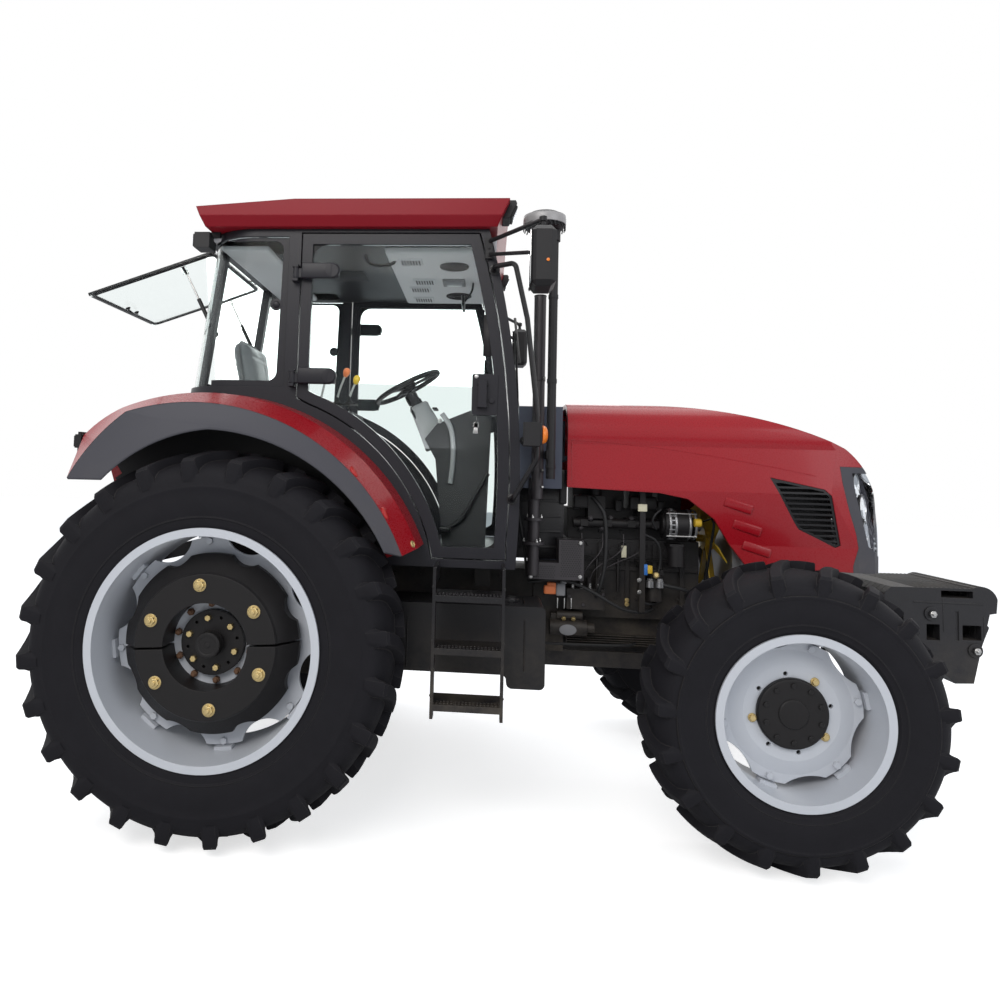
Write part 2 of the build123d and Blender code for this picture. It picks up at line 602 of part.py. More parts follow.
def front_weights():
    """Row of cast plates hooked over the carrier, held as one block by two through bolts."""
    face = outline((WEIGHT_X, 1082), (WEIGHT_X + 34, 1113), (3590, 1117), (3690, 1100, 3706, 1066),
                   (3700, 1000), (3668, 994), (3656, 940), (3664, 930), (3640, 870), (3628, 835), (3588, 656),
                   (3500, 652), (3340, 800), (WEIGHT_X + 90, 880), (WEIGHT_X + 90, WEIGHT_BAR_TOP + SEAT_GAP),
                   (WEIGHT_X, WEIGHT_BAR_TOP + SEAT_GAP))
    face -= Pos(3516, 1086) * Rectangle(150, 34)
    face -= Pos(3583, 901) * Rectangle(88, 72)
    face -= Pos(3401, 897) * Rectangle(62, 78)
    plate = along_y(face, -WEIGHT_T / 2, WEIGHT_T / 2)
    pitch = WEIGHT_T + WEIGHT_GAP
    start = -(WEIGHTS - 1) / 2 * pitch
    plates = [Pos(0, start + pitch * index, 0) * plate for index in range(WEIGHTS)]
    reach = -start + WEIGHT_T / 2
    ties = []
    for x, z in ((3393, 987), (3596, 816)):
        ties.append(rod((x, -reach - 14, z), (x, reach + 14, z), 11))
        ties.append(rod((x, -reach - 4, z), (x, reach + 4, z), 22))
    spine = merged(block(3300, 3420, -reach + 1, reach - 1, 1010, 1040), block(3520, 3600, -reach + 1, reach - 1, 700, 740))
    step = block(3310, 3640, -reach - 3, -reach + 1, 1040, 1046)
    slot = block(3506, 3522, -reach - 1, -reach + 6, 861, 1002)
    return merged(*plates, *ties, spine, step, left(step)) - slot - left(slot)


def transmission():
    """Clutch housing, gearbox, rear axle housing with its two trumpets and the lift housing."""
    bell = block(1440, ENGINE_REAR - SEAT_GAP, -BELL_W, BELL_W, 700, BELL_TOP)
    gearbox = block(380, 1441, -GEARBOX_W, GEARBOX_W, 640, 1120)
    centre = block(-330, 381, -212, 212, 520, 1130)
    trumpet = rod((0, -205, REAR_R), (0, -REAR_HOUSING_END, REAR_R), 118)
    trumpet = merged(trumpet, rod((0, -REAR_HOUSING_END + 40, REAR_R), (0, -REAR_HOUSING_END, REAR_R), 150))
    trumpet -= rod((0, -REAR_HOUSING_END + 80, REAR_R), (0, -REAR_HOUSING_END - 1, REAR_R), AXLE_SHAFT_R + 0.05)
    lift = block(-290, 120, -150, 150, 1129, 1300)
    stub = rod((-320, 0, PTO_Z), (-415, 0, PTO_Z), PTO_R)
    guard = block(-420, -320, -110, 110, PTO_Z + 86, PTO_Z + 92)
    shape = merged(bell, gearbox, centre, trumpet, left(trumpet), lift, stub, guard)
    shape -= rod((LIFT_PIN_X, -200, LIFT_PIN_Z), (LIFT_PIN_X, 200, LIFT_PIN_Z), LIFT_SHAFT_R + 0.05)
    rear_mount = block(-70, 70, -470, -390, REAR_R + 100, REAR_DECK - CAB_WALL - SEAT_GAP)
    front_mount = merged(block(1130, 1210, -330, -GEARBOX_W + 1, 1040, 1080),
                         block(1130, 1210, -330, -250, 1079, CAB_BASE - SEAT_GAP))
    shape = merged(shape, rear_mount, left(rear_mount), front_mount, left(front_mount))
    x, z = TOP_LINK_PIN
    for hand in (-1, 1):
        y0, y1 = sorted((hand * 28, hand * 44))
        ear = block(x - 30, -320, y0, y1, z - 34, z + 34)
        shape = merged(shape, ear)
    shape = merged(shape, rod((x, -44, z), (x, 44, z), TOP_PIN_R))
    for hand in (-1, 1):
        pin = rod((LINK_PIN_X, hand * 210, LINK_PIN_Z), (LINK_PIN_X, hand * (LINK_Y + 20), LINK_PIN_Z), LINK_PIN_R)
        shape = merged(shape, pin)
    return shape


def fuel_tank():
    tank = block(720, 1465, -TANK_Y, -430, 700, 1012)
    lobe = block(1290, 1465, -TANK_Y, -430, 640, 701)
    shape = fillet(merged(tank, lobe).edges().filter_by(Axis.Y), 26)
    strap = block(880, 920, -430 - 1, -GEARBOX_W - SEAT_GAP, 760, 800)
    return merged(shape, strap, Pos(420, 0, 0) * strap)


def battery_box():
    box = block(900, 1420, 430, TANK_Y, 700, 1012)
    strap = block(960, 1000, GEARBOX_W + SEAT_GAP, 431, 760, 800)
    return merged(box, strap, Pos(300, 0, 0) * strap)


def steps():
    """Three treads between two rails, hung from the cab's sill."""
    shape = None
    for x in (STEP_X0, STEP_X1 - 14):
        rail = block(x, x + 14, -STEP_Y, -STEP_Y + 60, 560, 1205)
        arm = block(x, x + 14, -STEP_Y, -TANK_Y - 6, 1130, 1205)
        hook = block(x, x + 14, -TANK_Y - 10, -CAB_W + 30, 1130, CAB_BASE - SEAT_GAP)
        piece = merged(rail, arm, hook)
        shape = piece if shape is None else merged(shape, piece)
    for z in STEP_ZS:
        shape = merged(shape, block(STEP_X0 + 1, STEP_X1 - 1, -STEP_Y, -STEP_Y + 180, z - 14, z + 14))
    return both(shape)


# ---------------------------------------------------------------- cab
def cab_plan(z, rear, half, corner):
    """Level section of the cab with rounded rear corners."""
    cut = corner * (1 - cos(pi / 4))
    face = outline((CAB_FRONT + 200, -half), (CAB_FRONT + 200, half), (rear + corner, half),
                   (rear + cut, half - cut, rear, half - corner), (rear, corner - half),
                   (rear + cut, cut - half, rear + corner, -half))
    return Plane((0, 0, z)) * face


def cab_solid(inset):
    """Closed body of the cab, drawn in by a margin on every side."""
    d = inset
    half, corner = CAB_W - d, CORNER_R - d
    foot = cab_plan(CAB_BASE - 50, CAB_REAR + d, half, corner)
    waist = cab_plan(WAIST_Z, CAB_REAR + d, half, corner)
    top = cab_plan(CAB_TOP - d, CAB_REAR_TOP + d, half, corner)
    walls = loft([foot, waist], ruled=True) + loft([waist, top], ruled=True)
    side = outline((CAB_FRONT - d, CAB_BASE + d), (CAB_FRONT - 10 - d, 2031, CAB_FRONT - 154 - d, CAB_TOP - d),
                   (CAB_REAR - 200, CAB_TOP - d), (CAB_REAR - 200, REAR_DECK - CAB_WALL + d),
                   (RISER_X + d, REAR_DECK - CAB_WALL + d), (RISER_X + d, CAB_BASE + d))
    return walls & along_y(side, -CAB_W - 10, CAB_W + 10)


def door_face(gap):
    """Door outline, drawn in by a gap."""
    g = gap
    return outline((258 + g, 2766 - g), (1120 - g, 2766 - g), (1262 - g, 2031, 1274 - g, 1300), (1274 - g, 1218 + g),
                   (934 + g, 1218 + g), (686 + g * 0.7, 1690 + g * 0.7, 322 + g, 1930 + g), (258 + g, 1962 + g))


def cab_frame():
    shell = cab_solid(0) - cab_solid(CAB_WALL)
    shell -= along_y(door_face(-DOOR_GAP), -CAB_W - 10, -CAB_W + CAB_WALL + 10)
    shell -= along_y(door_face(-DOOR_GAP), CAB_W - CAB_WALL - 10, CAB_W + 10)
    for window in window_blocks(0):
        shell -= window
    shell -= block(-500, -200, -HATCH_W, HATCH_W, HATCH_FOOT + 24, WINDOW_TOP)
    # hinge brackets and pins of the doors
    pieces = [shell]
    for z in DOOR_HINGES:
        for side in (-1, 1):
            for up in (-1, 1):
                z0, z1 = sorted((z + up * (HINGE_H / 2 + 5), z + up * (HINGE_H / 2 + 19)))
                y0, y1 = sorted((side * (CAB_W - 2), side * (DOOR_PIN_Y + 16)))
                pieces.append(block(DOOR_PIN_X - 16, DOOR_PIN_X + 12, y0, y1, z0, z1))
            pieces.append(Pos(DOOR_PIN_X, side * DOOR_PIN_Y, 0)
                          * along_z(Circle(7), z - HINGE_H / 2 - 6, z + HINGE_H / 2 + 6))
    for side in (-1, 1):
        x, z = HATCH_HINGE
        for hand in (-1, 1):
            y0, y1 = sorted((side * HATCH_BARREL_Y + hand * 35, side * HATCH_BARREL_Y + hand * 43))
            pieces.append(block(x - 9, CAB_REAR_TOP + 10, y0, y1, z - 9, z + 9))
        y = side * HATCH_BARREL_Y
        pieces.append(rod((x, y - 43, z), (x, y + 43, z), 5))
        y0, y1 = sorted((side * (HATCH_W + 2), side * (STRUT_Y - 6)))
        pieces.append(rod((STRUT_FOOT[0], y0, STRUT_FOOT[1]), (STRUT_FOOT[0], y1, STRUT_FOOT[1]), 5))
    return merged(*pieces)


def window_blocks(gap):
    """Solids that cut the windscreen and the quarter windows, smaller by a gap all round."""
    g = gap
    front = block(1050, 1400, -CAB_W + 62 + g, CAB_W - 62 - g, 1560 + g, WINDOW_TOP - g)
    right = block(-450, 190 - g, -CAB_W - 20, -HATCH_W - 45 - g, WINDOW_Z + g, WINDOW_TOP - g)
    return [front, right, left(right)]


def cab_glass():
    sheet = cab_solid(14) - cab_solid(14 + GLASS_T)
    panes = []
    for window in window_blocks(SEAT_GAP):
        panes += (sheet & window).solids()
    return Compound(children=panes)


def door():
    """Right door: a border frame with two hinge arms and a handle."""
    outer = along_y(door_face(0), -CAB_W, -CAB_W + DOOR_T)
    inner = along_y(offset(door_face(0), amount=-DOOR_BORDER), -CAB_W - 1, -CAB_W + DOOR_T + 1)
    pieces = [outer - inner]
    for z in DOOR_HINGES:
        eye = Pos(DOOR_PIN_X, -DOOR_PIN_Y, 0) * along_z(Circle(15), z - HINGE_H / 2, z + HINGE_H / 2)
        z0, z1 = z - HINGE_H / 2, z + HINGE_H / 2
        arm = block(DOOR_PIN_X + 4, 447, -DOOR_PIN_Y - 6, -CAB_W - 8, z0, z1)
        foot = block(284, 447, -CAB_W - 9, -CAB_W + 1, z0, z1)
        pieces.append(merged(eye, arm, foot) - Pos(DOOR_PIN_X, -DOOR_PIN_Y, 0)
                      * along_z(Circle(7.05), z - HINGE_H, z + HINGE_H))
    plate = offset(outline((1112, 1902), (1212, 1902), (1216, 2078), (1112, 2078)), amount=10)
    pieces.append(along_y(plate, -CAB_W - 6, -CAB_W + DOOR_T - 4))
    pieces.append(block(1128, 1176, -CAB_W - 32, -CAB_W - 5, 1926, 1946))
    pieces.append(block(1128, 1176, -CAB_W - 32, -CAB_W - 5, 2034, 2054))
    pieces.append(block(1132, 1172, -CAB_W - 40, -CAB_W - 28, 1926, 2054))
    pieces.append(rod((1196, -CAB_W - 5, 1962), (1196, -CAB_W - 16, 1962), 13))
    return merged(*pieces)


def door_glass():
    middle = -CAB_W + DOOR_T / 2
    pane = along_y(offset(door_face(0), amount=-DOOR_BORDER - SEAT_GAP), middle - GLASS_T / 2, middle + GLASS_T / 2)
    plate = offset(outline((1112, 1902), (1212, 1902), (1216, 2078), (1112, 2078)), amount=10 + SEAT_GAP)
    return pane - along_y(plate, -CAB_W - 8, -CAB_W + DOOR_T)


def hatch_place(shape):
    """Turns a piece of the closed rear window to its raised pose."""
    x, z = HATCH_HINGE
    return Pos(x, 0, z) * Rot(0, HATCH_OPEN, 0) * Pos(-x, 0, -z) * shape


def wall_x(z):
    """Outer face of the rear wall at a height."""
    return CAB_REAR_TOP + (CAB_REAR - CAB_REAR_TOP) * (CAB_TOP - z) / (CAB_TOP - WAIST_Z)


def rear_window():
    z0, z1 = HATCH_FOOT, HATCH_HINGE[1] - 16
    near, far = 7.0, 7.0 + HATCH_T
    face = outline((wall_x(z0) - near, z0), (wall_x(z1) - near, z1), (wall_x(z1) - far, z1), (wall_x(z0) - far, z0))
    pane = along_y(face, -HATCH_W - 22, HATCH_W + 22)
    pieces = [pane]
    for side in (-1, 1):
        y = side * HATCH_BARREL_Y
        x, z = HATCH_HINGE
        pieces.append(rod((x, y - 30, z), (x, y + 30, z), 12))
        pieces.append(block(x - 6, x + 6, y - 30, y + 30, z1 - 2, z - 6))
    for side in (-1, 1):
        y = side * HATCH_BARREL_Y
        bore = rod((HATCH_HINGE[0], y - 31, HATCH_HINGE[1]), (HATCH_HINGE[0], y + 31, HATCH_HINGE[1]), 5.05)
        pieces = [merged(*pieces) - bore]
    head_x, head_z = strut_head()
    for side in (-1, 1):
        y0, y1 = sorted((side * (STRUT_Y + 12), side * (STRUT_Y + 20)))
        pieces.append(block(wall_x(head_z) - near - 4, head_x + 12, y0, y1, head_z - 14, head_z + 14))
    return hatch_place(merged(*pieces))


def strut_head():
    """Upper pin of a gas strut with the rear window closed."""
    lean = atan2(CAB_REAR_TOP - CAB_REAR, CAB_TOP - WAIST_Z)
    return (HATCH_HINGE[0] - STRUT_HEAD_LEN * sin(lean) + STRUT_HEAD_IN,
            HATCH_HINGE[1] - STRUT_HEAD_LEN * cos(lean))


def raised_strut_head():
    x, z = strut_head()
    dx, dz = x - HATCH_HINGE[0], z - HATCH_HINGE[1]
    a = radians(HATCH_OPEN)
    return HATCH_HINGE[0] + dx * cos(a) + dz * sin(a), HATCH_HINGE[1] - dx * sin(a) + dz * cos(a)


def strut_tubes():
    hx, hz = raised_strut_head()
    fx, fz = STRUT_FOOT
    length = hypot(hx - fx, hz - fz)
    ux, uz = (hx - fx) / length, (hz - fz) / length
    tube = rod((fx + ux * 14, -STRUT_Y, fz + uz * 14), (fx + ux * 215, -STRUT_Y, fz + uz * 215), 11)
    tube -= rod((fx + ux * 30, -STRUT_Y, fz + uz * 30), (fx + ux * 216, -STRUT_Y, fz + uz * 216), 5.05)
    eye = rod((fx, -STRUT_Y - 8, fz), (fx, -STRUT_Y + 8, fz), 16)
    eye -= rod((fx, -STRUT_Y - 9, fz), (fx, -STRUT_Y + 9, fz), 5.05)
    return both(merged(tube, eye))


def strut_rods():
    hx, hz = raised_strut_head()
    fx, fz = STRUT_FOOT
    length = hypot(hx - fx, hz - fz)
    ux, uz = (hx - fx) / length, (hz - fz) / length
    shape = rod((fx + ux * 195, -STRUT_Y, fz + uz * 195), (hx - ux * 10, -STRUT_Y, hz - uz * 10), 5)
    eye = rod((hx, -STRUT_Y - 7, hz), (hx, -STRUT_Y + 7, hz), 12)
    return both(merged(shape, eye))


def roof():
    along = outline((ROOF_REAR + 38, CAB_TOP + SEAT_GAP), (1206, CAB_TOP + SEAT_GAP), (ROOF_FRONT, 2912), (ROOF_FRONT - 30, 2990),
                    (ROOF_REAR, 2880))
    side = outline((-ROOF_W + 36, CAB_TOP), (ROOF_W - 36, CAB_TOP), (ROOF_W, CAB_TOP + 46), (ROOF_W, ROOF_EDGE),
                   (0, ROOF_TOP, -ROOF_W, ROOF_EDGE), (-ROOF_W, CAB_TOP + 46))
    shape = along_x(side, ROOF_REAR - 10, ROOF_FRONT + 20) & along_y(along, -ROOF_W - 10, ROOF_W + 10)
    return shape


def arc_band(row, thickness):
    """Curved band in the plane y of its row: a main arc, then a tail that falls behind the wheel."""
    side, x, z, radius, front, shoulder, tail, end = row

    def at(r, angle):
        return x + r * cos(radians(angle)), z + r * sin(radians(angle))

    def drawn_in(point):
        dx, dz = point[0] - x, point[1] - z
        keep = 1 - thickness / hypot(dx, dz)
        return x + dx * keep, z + dz * keep

    middle = (front + shoulder) / 2
    inner = radius - thickness
    edges = [ThreePointArc(at(radius, front), at(radius, middle), at(radius, shoulder)),
             ThreePointArc(at(radius, shoulder), tail, end), Line(end, drawn_in(end)),
             ThreePointArc(drawn_in(end), drawn_in(tail), at(inner, shoulder)),
             ThreePointArc(at(inner, shoulder), at(inner, middle), at(inner, front)),
             Line(at(inner, front), at(radius, front))]
    return Plane((0, -side, 0), x_dir=(1, 0, 0), z_dir=(0, -1, 0)) * make_face(edges)


def arched(rows, thickness):
    """Bands joined from row to row."""
    pieces = [loft([arc_band(a, thickness), arc_band(b, thickness)], ruled=True) for a, b in zip(rows, rows[1:])]
    return merged(*pieces)


# distance from the middle; main arc's centre x and z, radius, front and rear ends in degrees; then
# the tail's middle and end points
FENDER_ROWS = [(CAB_W + SEAT_GAP, FENDER_X, FENDER_Z, FENDER_R, FENDER_FRONT, 112, (-642, 1826), (-712, 1762)),
               (900.0, FENDER_X, FENDER_Z, FENDER_R - 12, FENDER_FRONT, 112, (-632, 1810), (-704, 1744)),
               (FENDER_Y, FENDER_X, FENDER_Z, FLARE_R, FENDER_FRONT, 108, (-572, 1720), (-692, 1546))]
FLARE_ROWS = [(FENDER_Y + SEAT_GAP, FENDER_X, FENDER_Z, FLARE_R, FENDER_FRONT, 108, (-572, 1720), (-692, 1546)),
              (FLARE_Y, FENDER_X + 60, FENDER_Z - 18, FLARE_R - 96, FENDER_FRONT + 5, 88, (-262, 1722),
               (-506, 1549))]


def fenders():
    """Arched steel fenders with their inner plates."""
    arch = arched(FENDER_ROWS, FENDER_T)
    _, _, _, _, front, shoulder, tail, end = FENDER_ROWS[0]

    def rim(angle):
        return (FENDER_X + FENDER_R * cos(radians(angle)), FENDER_Z + FENDER_R * sin(radians(angle)))

    face = outline(rim(front), (*rim((front + shoulder) / 2), *rim(shoulder)), (*tail, *end), (-560, 1320),
                   (700, 1200))
    return both(merged(arch, along_y(face, -CAB_W - SEAT_GAP - 8, -CAB_W - SEAT_GAP)))


def fender_flares():
    return both(arched(FLARE_ROWS, FENDER_T))


def dash():
    binnacle = along_y(outline((950, CAB_BASE + CAB_WALL + SEAT_GAP), (1180, CAB_BASE + CAB_WALL + SEAT_GAP), (1200, 1900), (1120, 1975), (905, 1885), (838, 1800),
                               (900, 1690)), -170, 170)
    tilt = radians(WHEEL_TILT)

    def along(distance):
        return (WHEEL_C[0] + distance * sin(tilt), 0, WHEEL_C[2] - distance * cos(tilt))

    column = rod(along(330), along(34), 30)
    return merged(binnacle, column, rod(along(36), along(2), WHEEL_SHAFT_R))


def steering_wheel():
    place = Pos(*WHEEL_C) * Rot(0, -WHEEL_TILT, 0)
    rim = Torus(190, 14)
    spokes = [Rot(0, 0, 120 * index) * block(10, 185, -14, 14, -7, 7) for index in range(3)]
    hub = along_z(Circle(44), -26, 16)
    return place * (merged(rim, hub, *spokes) - along_z(Circle(WHEEL_SHAFT_R + 0.05), -27, 1))


def seat():
    cushion = fillet(block(-90, 400, -240, 240, 1752, 1860).edges(), 30)
    back = Pos(-200, 0, 1862) * Rot(0, -10, 0) * fillet(block(SEAT_GAP, 110, -225, 225, 8, 480).edges(), 30)
    return Compound(children=[cushion, back])


def seat_base():
    """Suspension box and pan, with the bracket behind the backrest."""
    box = block(-20, 330, -190, 190, REAR_DECK + SEAT_GAP, 1700)
    pan = block(-70, 360, -215, 215, 1699, 1752 - SEAT_GAP)
    arm = block(-200, -65, -100, 100, 1710, 1740)
    post = Pos(-200, 0, 1862) * Rot(0, -10, 0) * block(-16, 0, -100, 100, -160, 240)
    return merged(box, pan, arm, post)


def side_console():
    floor = REAR_DECK + SEAT_GAP
    panel = along_y(outline((-90, floor), (292, floor), (292, 1570), (560, 1600), (520, 1900), (300, 1960), (-90, 1960)),
                    -660, -330)
    return merged(panel)


# ---------------------------------------------------------------- bonnet and what stands beside it
def bonnet_solid(inset):
    d = inset
    across = outline((-BONNET_FOOT_W + d, 1000), (BONNET_FOOT_W - d, 1000), (BONNET_FOOT_W - d, 1300),
                     (BONNET_W - d, 1560), (BONNET_W - 8 - d, 1780), (BONNET_W - 50 - d, 1950 - d, BONNET_TOP_W, 1996 - d),
                     (-BONNET_TOP_W, 1996 - d), (-BONNET_W + 50 + d, 1950 - d, -BONNET_W + 8 + d, 1780),
                     (-BONNET_W + d, 1560), (-BONNET_FOOT_W + d, 1300))
    along = outline((BONNET_REAR - d, 1562), (BONNET_REAR - d, BONNET_TOP - d), (2050, BONNET_TOP - d),
                    (2560, 1922 - d, 2935 - d, 1789 - d), (3050 - d, 1670 - d, 3110 - d, 1490),
                    (3160 - d, 1300), (3140 - d, 1180 - d), (2470, 1196 - d), (2390, 1300 - d), (2310, 1424 - d),
                    (2180, 1520 - d), (2040, 1546 - d))
    plan = outline((1500, -480 + d), (2700, -480 + d), (3090 - d, -372 + d), (3166 - d, -250, 3190 - d, 0),
                   (3166 - d, 250, 3090 - d, 372 - d), (2700, 480 - d), (1500, 480 - d))
    return along_x(across, 1500, 3300) & along_y(along, -500, 500) & along_z(plan, 1000, 2100)


# outlines in side view
SIDE_GRILLE = [(2690, 1425), (2714, 1388), (2894, 1302), (2918, 1314), (2863, 1555), (2829, 1586), (2572, 1638)]
LENS_REAR = [(2972, 1670), (2992, 1564), (3027, 1432), (3057, 1312), (3132, 1259), (3300, 1259), (3300, 1670)]
NOSE = [(2906, 1700), (2920, 1619), (2952, 1494), (2991, 1370), (3002, 1302), (2977, 1217), (2977, 1000),
        (3300, 1000), (3300, 1700)]
LOUVRES = [[(2345, 1540), (2477, 1506), (2504, 1450), (2394, 1478)],
           [(2397, 1429), (2522, 1404), (2543, 1349), (2437, 1367)],
           [(2446, 1323), (2565, 1303), (2589, 1251), (2480, 1263)]]
LOUVRE_DEPTH = 14.0
SLATS = 13                # slats of a side grille
GRILLE_W = 188.0          # half width of the nose grille
GRILLE_Z0, GRILLE_Z1 = 1236.0, 1600.0
LAMP_IN = 206.0           # inner edge of a headlamp from the middle


def drawn_in(points, margin):
    face = Polygon(*points, align=None)
    return offset(face, amount=-margin, kind=Kind.INTERSECTION) if margin else face


def side_window(points, margin=0.0):
    """Prism through one side of the bonnet."""
    return along_y(drawn_in(points, margin), -600, -LAMP_IN - margin)


def bonnet():
    shell = bonnet_solid(0) - bonnet_solid(BONNET_WALL)
    shell -= along_y(Polygon(*NOSE, align=None), -600, 600)
    core = bonnet_solid(LOUVRE_DEPTH)
    holes = [side_window(SIDE_GRILLE)]
    holes += [side_window(points) - core for points in LOUVRES]
    for hole in holes:
        shell = shell - hole - left(hole)
    x, z = BONNET_PIN
    lug = block(x - 12, x + 12, -BONNET_PIN_Y + 2, -BONNET_PIN_Y + 14, z - 12, BONNET_TOP - BONNET_WALL + 1)
    lug -= rod((x, -BONNET_PIN_Y, z), (x, -BONNET_PIN_Y + 16, z), BONNET_PIN_R + 0.05)
    return merged(shell, lug, left(lug))


def nose():
    """Surround of the nose grille and the headlamps."""
    shell = (bonnet_solid(0) - bonnet_solid(BONNET_WALL)) & along_y(drawn_in(NOSE, SEAT_GAP), -600, 600)
    lens = side_window(LENS_REAR)
    return shell - lens - left(lens) - block(2900, 3300, -GRILLE_W, GRILLE_W, GRILLE_Z0, GRILLE_Z1)


def grilles():
    """Framed slats in the nose and in both sides."""
    skin = bonnet_solid(4) - bonnet_solid(18)
    g = SEAT_GAP
    front = skin & block(2900, 3300, -GRILLE_W + g, GRILLE_W - g, GRILLE_Z0 + g, GRILLE_Z1 - g)
    pitch = (GRILLE_Z1 - GRILLE_Z0) / 14
    for index in range(13):
        z = GRILLE_Z0 + pitch * (index + 0.75)
        front -= block(2900, 3300, -GRILLE_W + 14, GRILLE_W - 14, z, z + pitch / 2)
    side = skin & side_window(SIDE_GRILLE, g)
    low, high = SIDE_GRILLE[2][1], SIDE_GRILLE[6][1]
    inside = side_window(SIDE_GRILLE, 12)
    pitch = (high - low) / SLATS
    gaps = [block(2500, 2960, -600, -LAMP_IN, low + pitch * index + 10, low + pitch * (index + 1))
            for index in range(SLATS)]
    side -= [gap & inside for gap in gaps]
    return Compound(children=[*front.solids(), *side.solids(), *left(side).solids()])


def headlamps():
    lenses = ((bonnet_solid(3) - bonnet_solid(46)) & side_window(LENS_REAR, SEAT_GAP)).solids()
    return Compound(children=[*lenses, *[left(piece) for piece in lenses]])


def cowl():
    box = block(CAB_FRONT + COWL_BACK, 1560, -420, 420, 1552, 1968)
    legs = block(1450, 1580, -280, 280, BELL_TOP + SEAT_GAP, 1553)
    shape = merged(box, legs)
    x, z = BONNET_PIN
    for side in (-1, 1):
        y0, y1 = sorted((side * (BONNET_PIN_Y + 4), side * (BONNET_PIN_Y + 14)))
        post = merged(block(x - 10, x + 10, y0, y1, 1700, z + 9), block(1559, x + 10, y0, y1, 1700, 1726))
        pin = rod((x, side * (BONNET_PIN_Y + 14), z), (x, side * (BONNET_PIN_Y - 14), z), BONNET_PIN_R)
        shape = merged(shape, post, pin)
    return shape


def exhaust():
    """Stack with its flanged pipe down to a boxed heat shield beside the engine."""
    foot = block(1410, 1450, -470, -420 - SEAT_GAP, 1600, 1640)
    stack = rod((1432, -480, 1500), (1432, -480, 2520), 30)
    lower = rod((1421, -450, 1120), (1421, -450, 1602), 29)
    shield = merged(block(1549, 1673, -440, -300, 1107, 1298), block(1400, 1673, -440, -300, 1100, 1183),
                    block(1400, 1600, -300, -BELL_W - SEAT_GAP, 1110, 1150))
    rings = [rod((1421, -450, z - 7), (1421, -450, z + 7), r) for z, r in ((1279, 57), (1398, 48))]
    return merged(stack, lower, foot, shield, *rings)


def air_intake():
    """Intake pipe with its round pre-cleaner bowl."""
    stack = rod((1490, -560, 1600), (1490, -560, 2835), 22)
    foot = block(1470, 1510, -575, -420 - SEAT_GAP, 1700, 1740)
    profile = outline((0, 2826), (44, 2826), (92, 2842), (104, 2868), (100, 2898), (74, 2918), (0, 2922))
    bowl = Pos(1440, -560, 0) * revolve(Plane.XZ * profile, Axis.Z)
    neck = rod((1490, -560, 2780), (1490, -560, 2835), 30)
    return merged(stack, neck, bowl, foot)


def mirrors():
    head = block(1342, 1448, -1210, -1028, 2396, 2652)
    head = chamfer(head.edges(), 22)
    low_arm = rod((1170, -CAB_W - 12, 2662), (1395, -1120, 2560), 9)
    base = block(1150, 1186, -CAB_W - 22, -CAB_W - SEAT_GAP, 2640, 2740)
    arm = rod((1170, -CAB_W - 12, 2726), (1395, -1120, 2700), 10)
    arm2 = rod((1395, -1120, 2700), (1395, -1120, 2640), 10)
    return both(merged(head, base, arm, arm2, low_arm))


def grab_rails():
    y = -CAB_W - SEAT_GAP
    line = [(1196, y, 2590), (1196, y - 60, 2590), (1290, RAIL_TUBE_Y, 2590), (1350, RAIL_TUBE_Y, 2330),
            (1405, RAIL_TUBE_Y, 1880), (1405, RAIL_TUBE_Y, 1690), (1300, y - 70, 1500), (1300, y, 1500)]
    return both(pipe(line, 12, 30))


def lamps():
    """Work lamps under the roof's edges, turn signals on arms from the cowl and tail lamps."""
    pieces = []
    front = along_y(outline((1222, 2840), (1262, 2840), (1297, 2912), (1290, 2926), (1250, 2926)), -735, -610)
    front -= along_y(outline((1200, 2770), (1206.4, CAB_TOP), (ROOF_FRONT + 0.4, 2912), (1240, 2990), (1200, 2990)),
                     -750, -600)
    rear = merged(block(-300, -222, -700, -605, 2704, 2782), block(-232, -180, -668, -648, 2764, CAB_TOP))
    signal = merged(block(1338, 1410, -985, -900, 1742, 1846), rod((1366, -902, 1790), (1366, -420 - SEAT_GAP, 1790), 9),
                    rod((1366, -428, 1790), (1366, -420 - SEAT_GAP, 1790), 22))
    tail = merged(block(-752, -722, -890, -770, 1684, 1748), block(-738, -724, -890, -770, 1640, 1760))
    wall = -CAB_W - SEAT_GAP - 8 - SEAT_GAP
    tail = merged(tail, block(-736, -690, -771, wall, 1650, 1670), block(-700, -600, -752, wall, 1650, 1670))
    for shape in (front, rear, signal, tail):
        pieces += [shape, left(shape)]
    return Compound(children=pieces)


# ---------------------------------------------------------------- three-point hitch


def link_point(along):
    a = radians(LINK_DROP)
    return LINK_PIN_X - along * cos(a), LINK_PIN_Z - along * sin(a)


def lower_links():
    x1, z1 = link_point(LINK_LEN)
    xm, zm = link_point(LIFT_LEN)
    arm = bar((LINK_PIN_X - 20, -LINK_Y, LINK_PIN_Z - 5), (x1 + 26, -LINK_Y, z1 + 6), 26, 64)
    front = rod((LINK_PIN_X, -LINK_Y - 15, LINK_PIN_Z), (LINK_PIN_X, -LINK_Y + 15, LINK_PIN_Z), 40)
    tail = rod((x1, -LINK_Y - 22, z1), (x1, -LINK_Y + 22, z1), 42)
    shape = merged(arm, front, tail)
    shape -= rod((xm, -LINK_Y - 30, zm), (xm, -LINK_Y + 30, zm), 12.05)
    shape -= rod((x1, -LINK_Y - 30, z1), (x1, -LINK_Y + 30, z1), 14.35)
    shape -= rod((LINK_PIN_X, -LINK_Y - 30, LINK_PIN_Z), (LINK_PIN_X, -LINK_Y + 30, LINK_PIN_Z), LINK_PIN_R + 0.05)
    return both(shape)


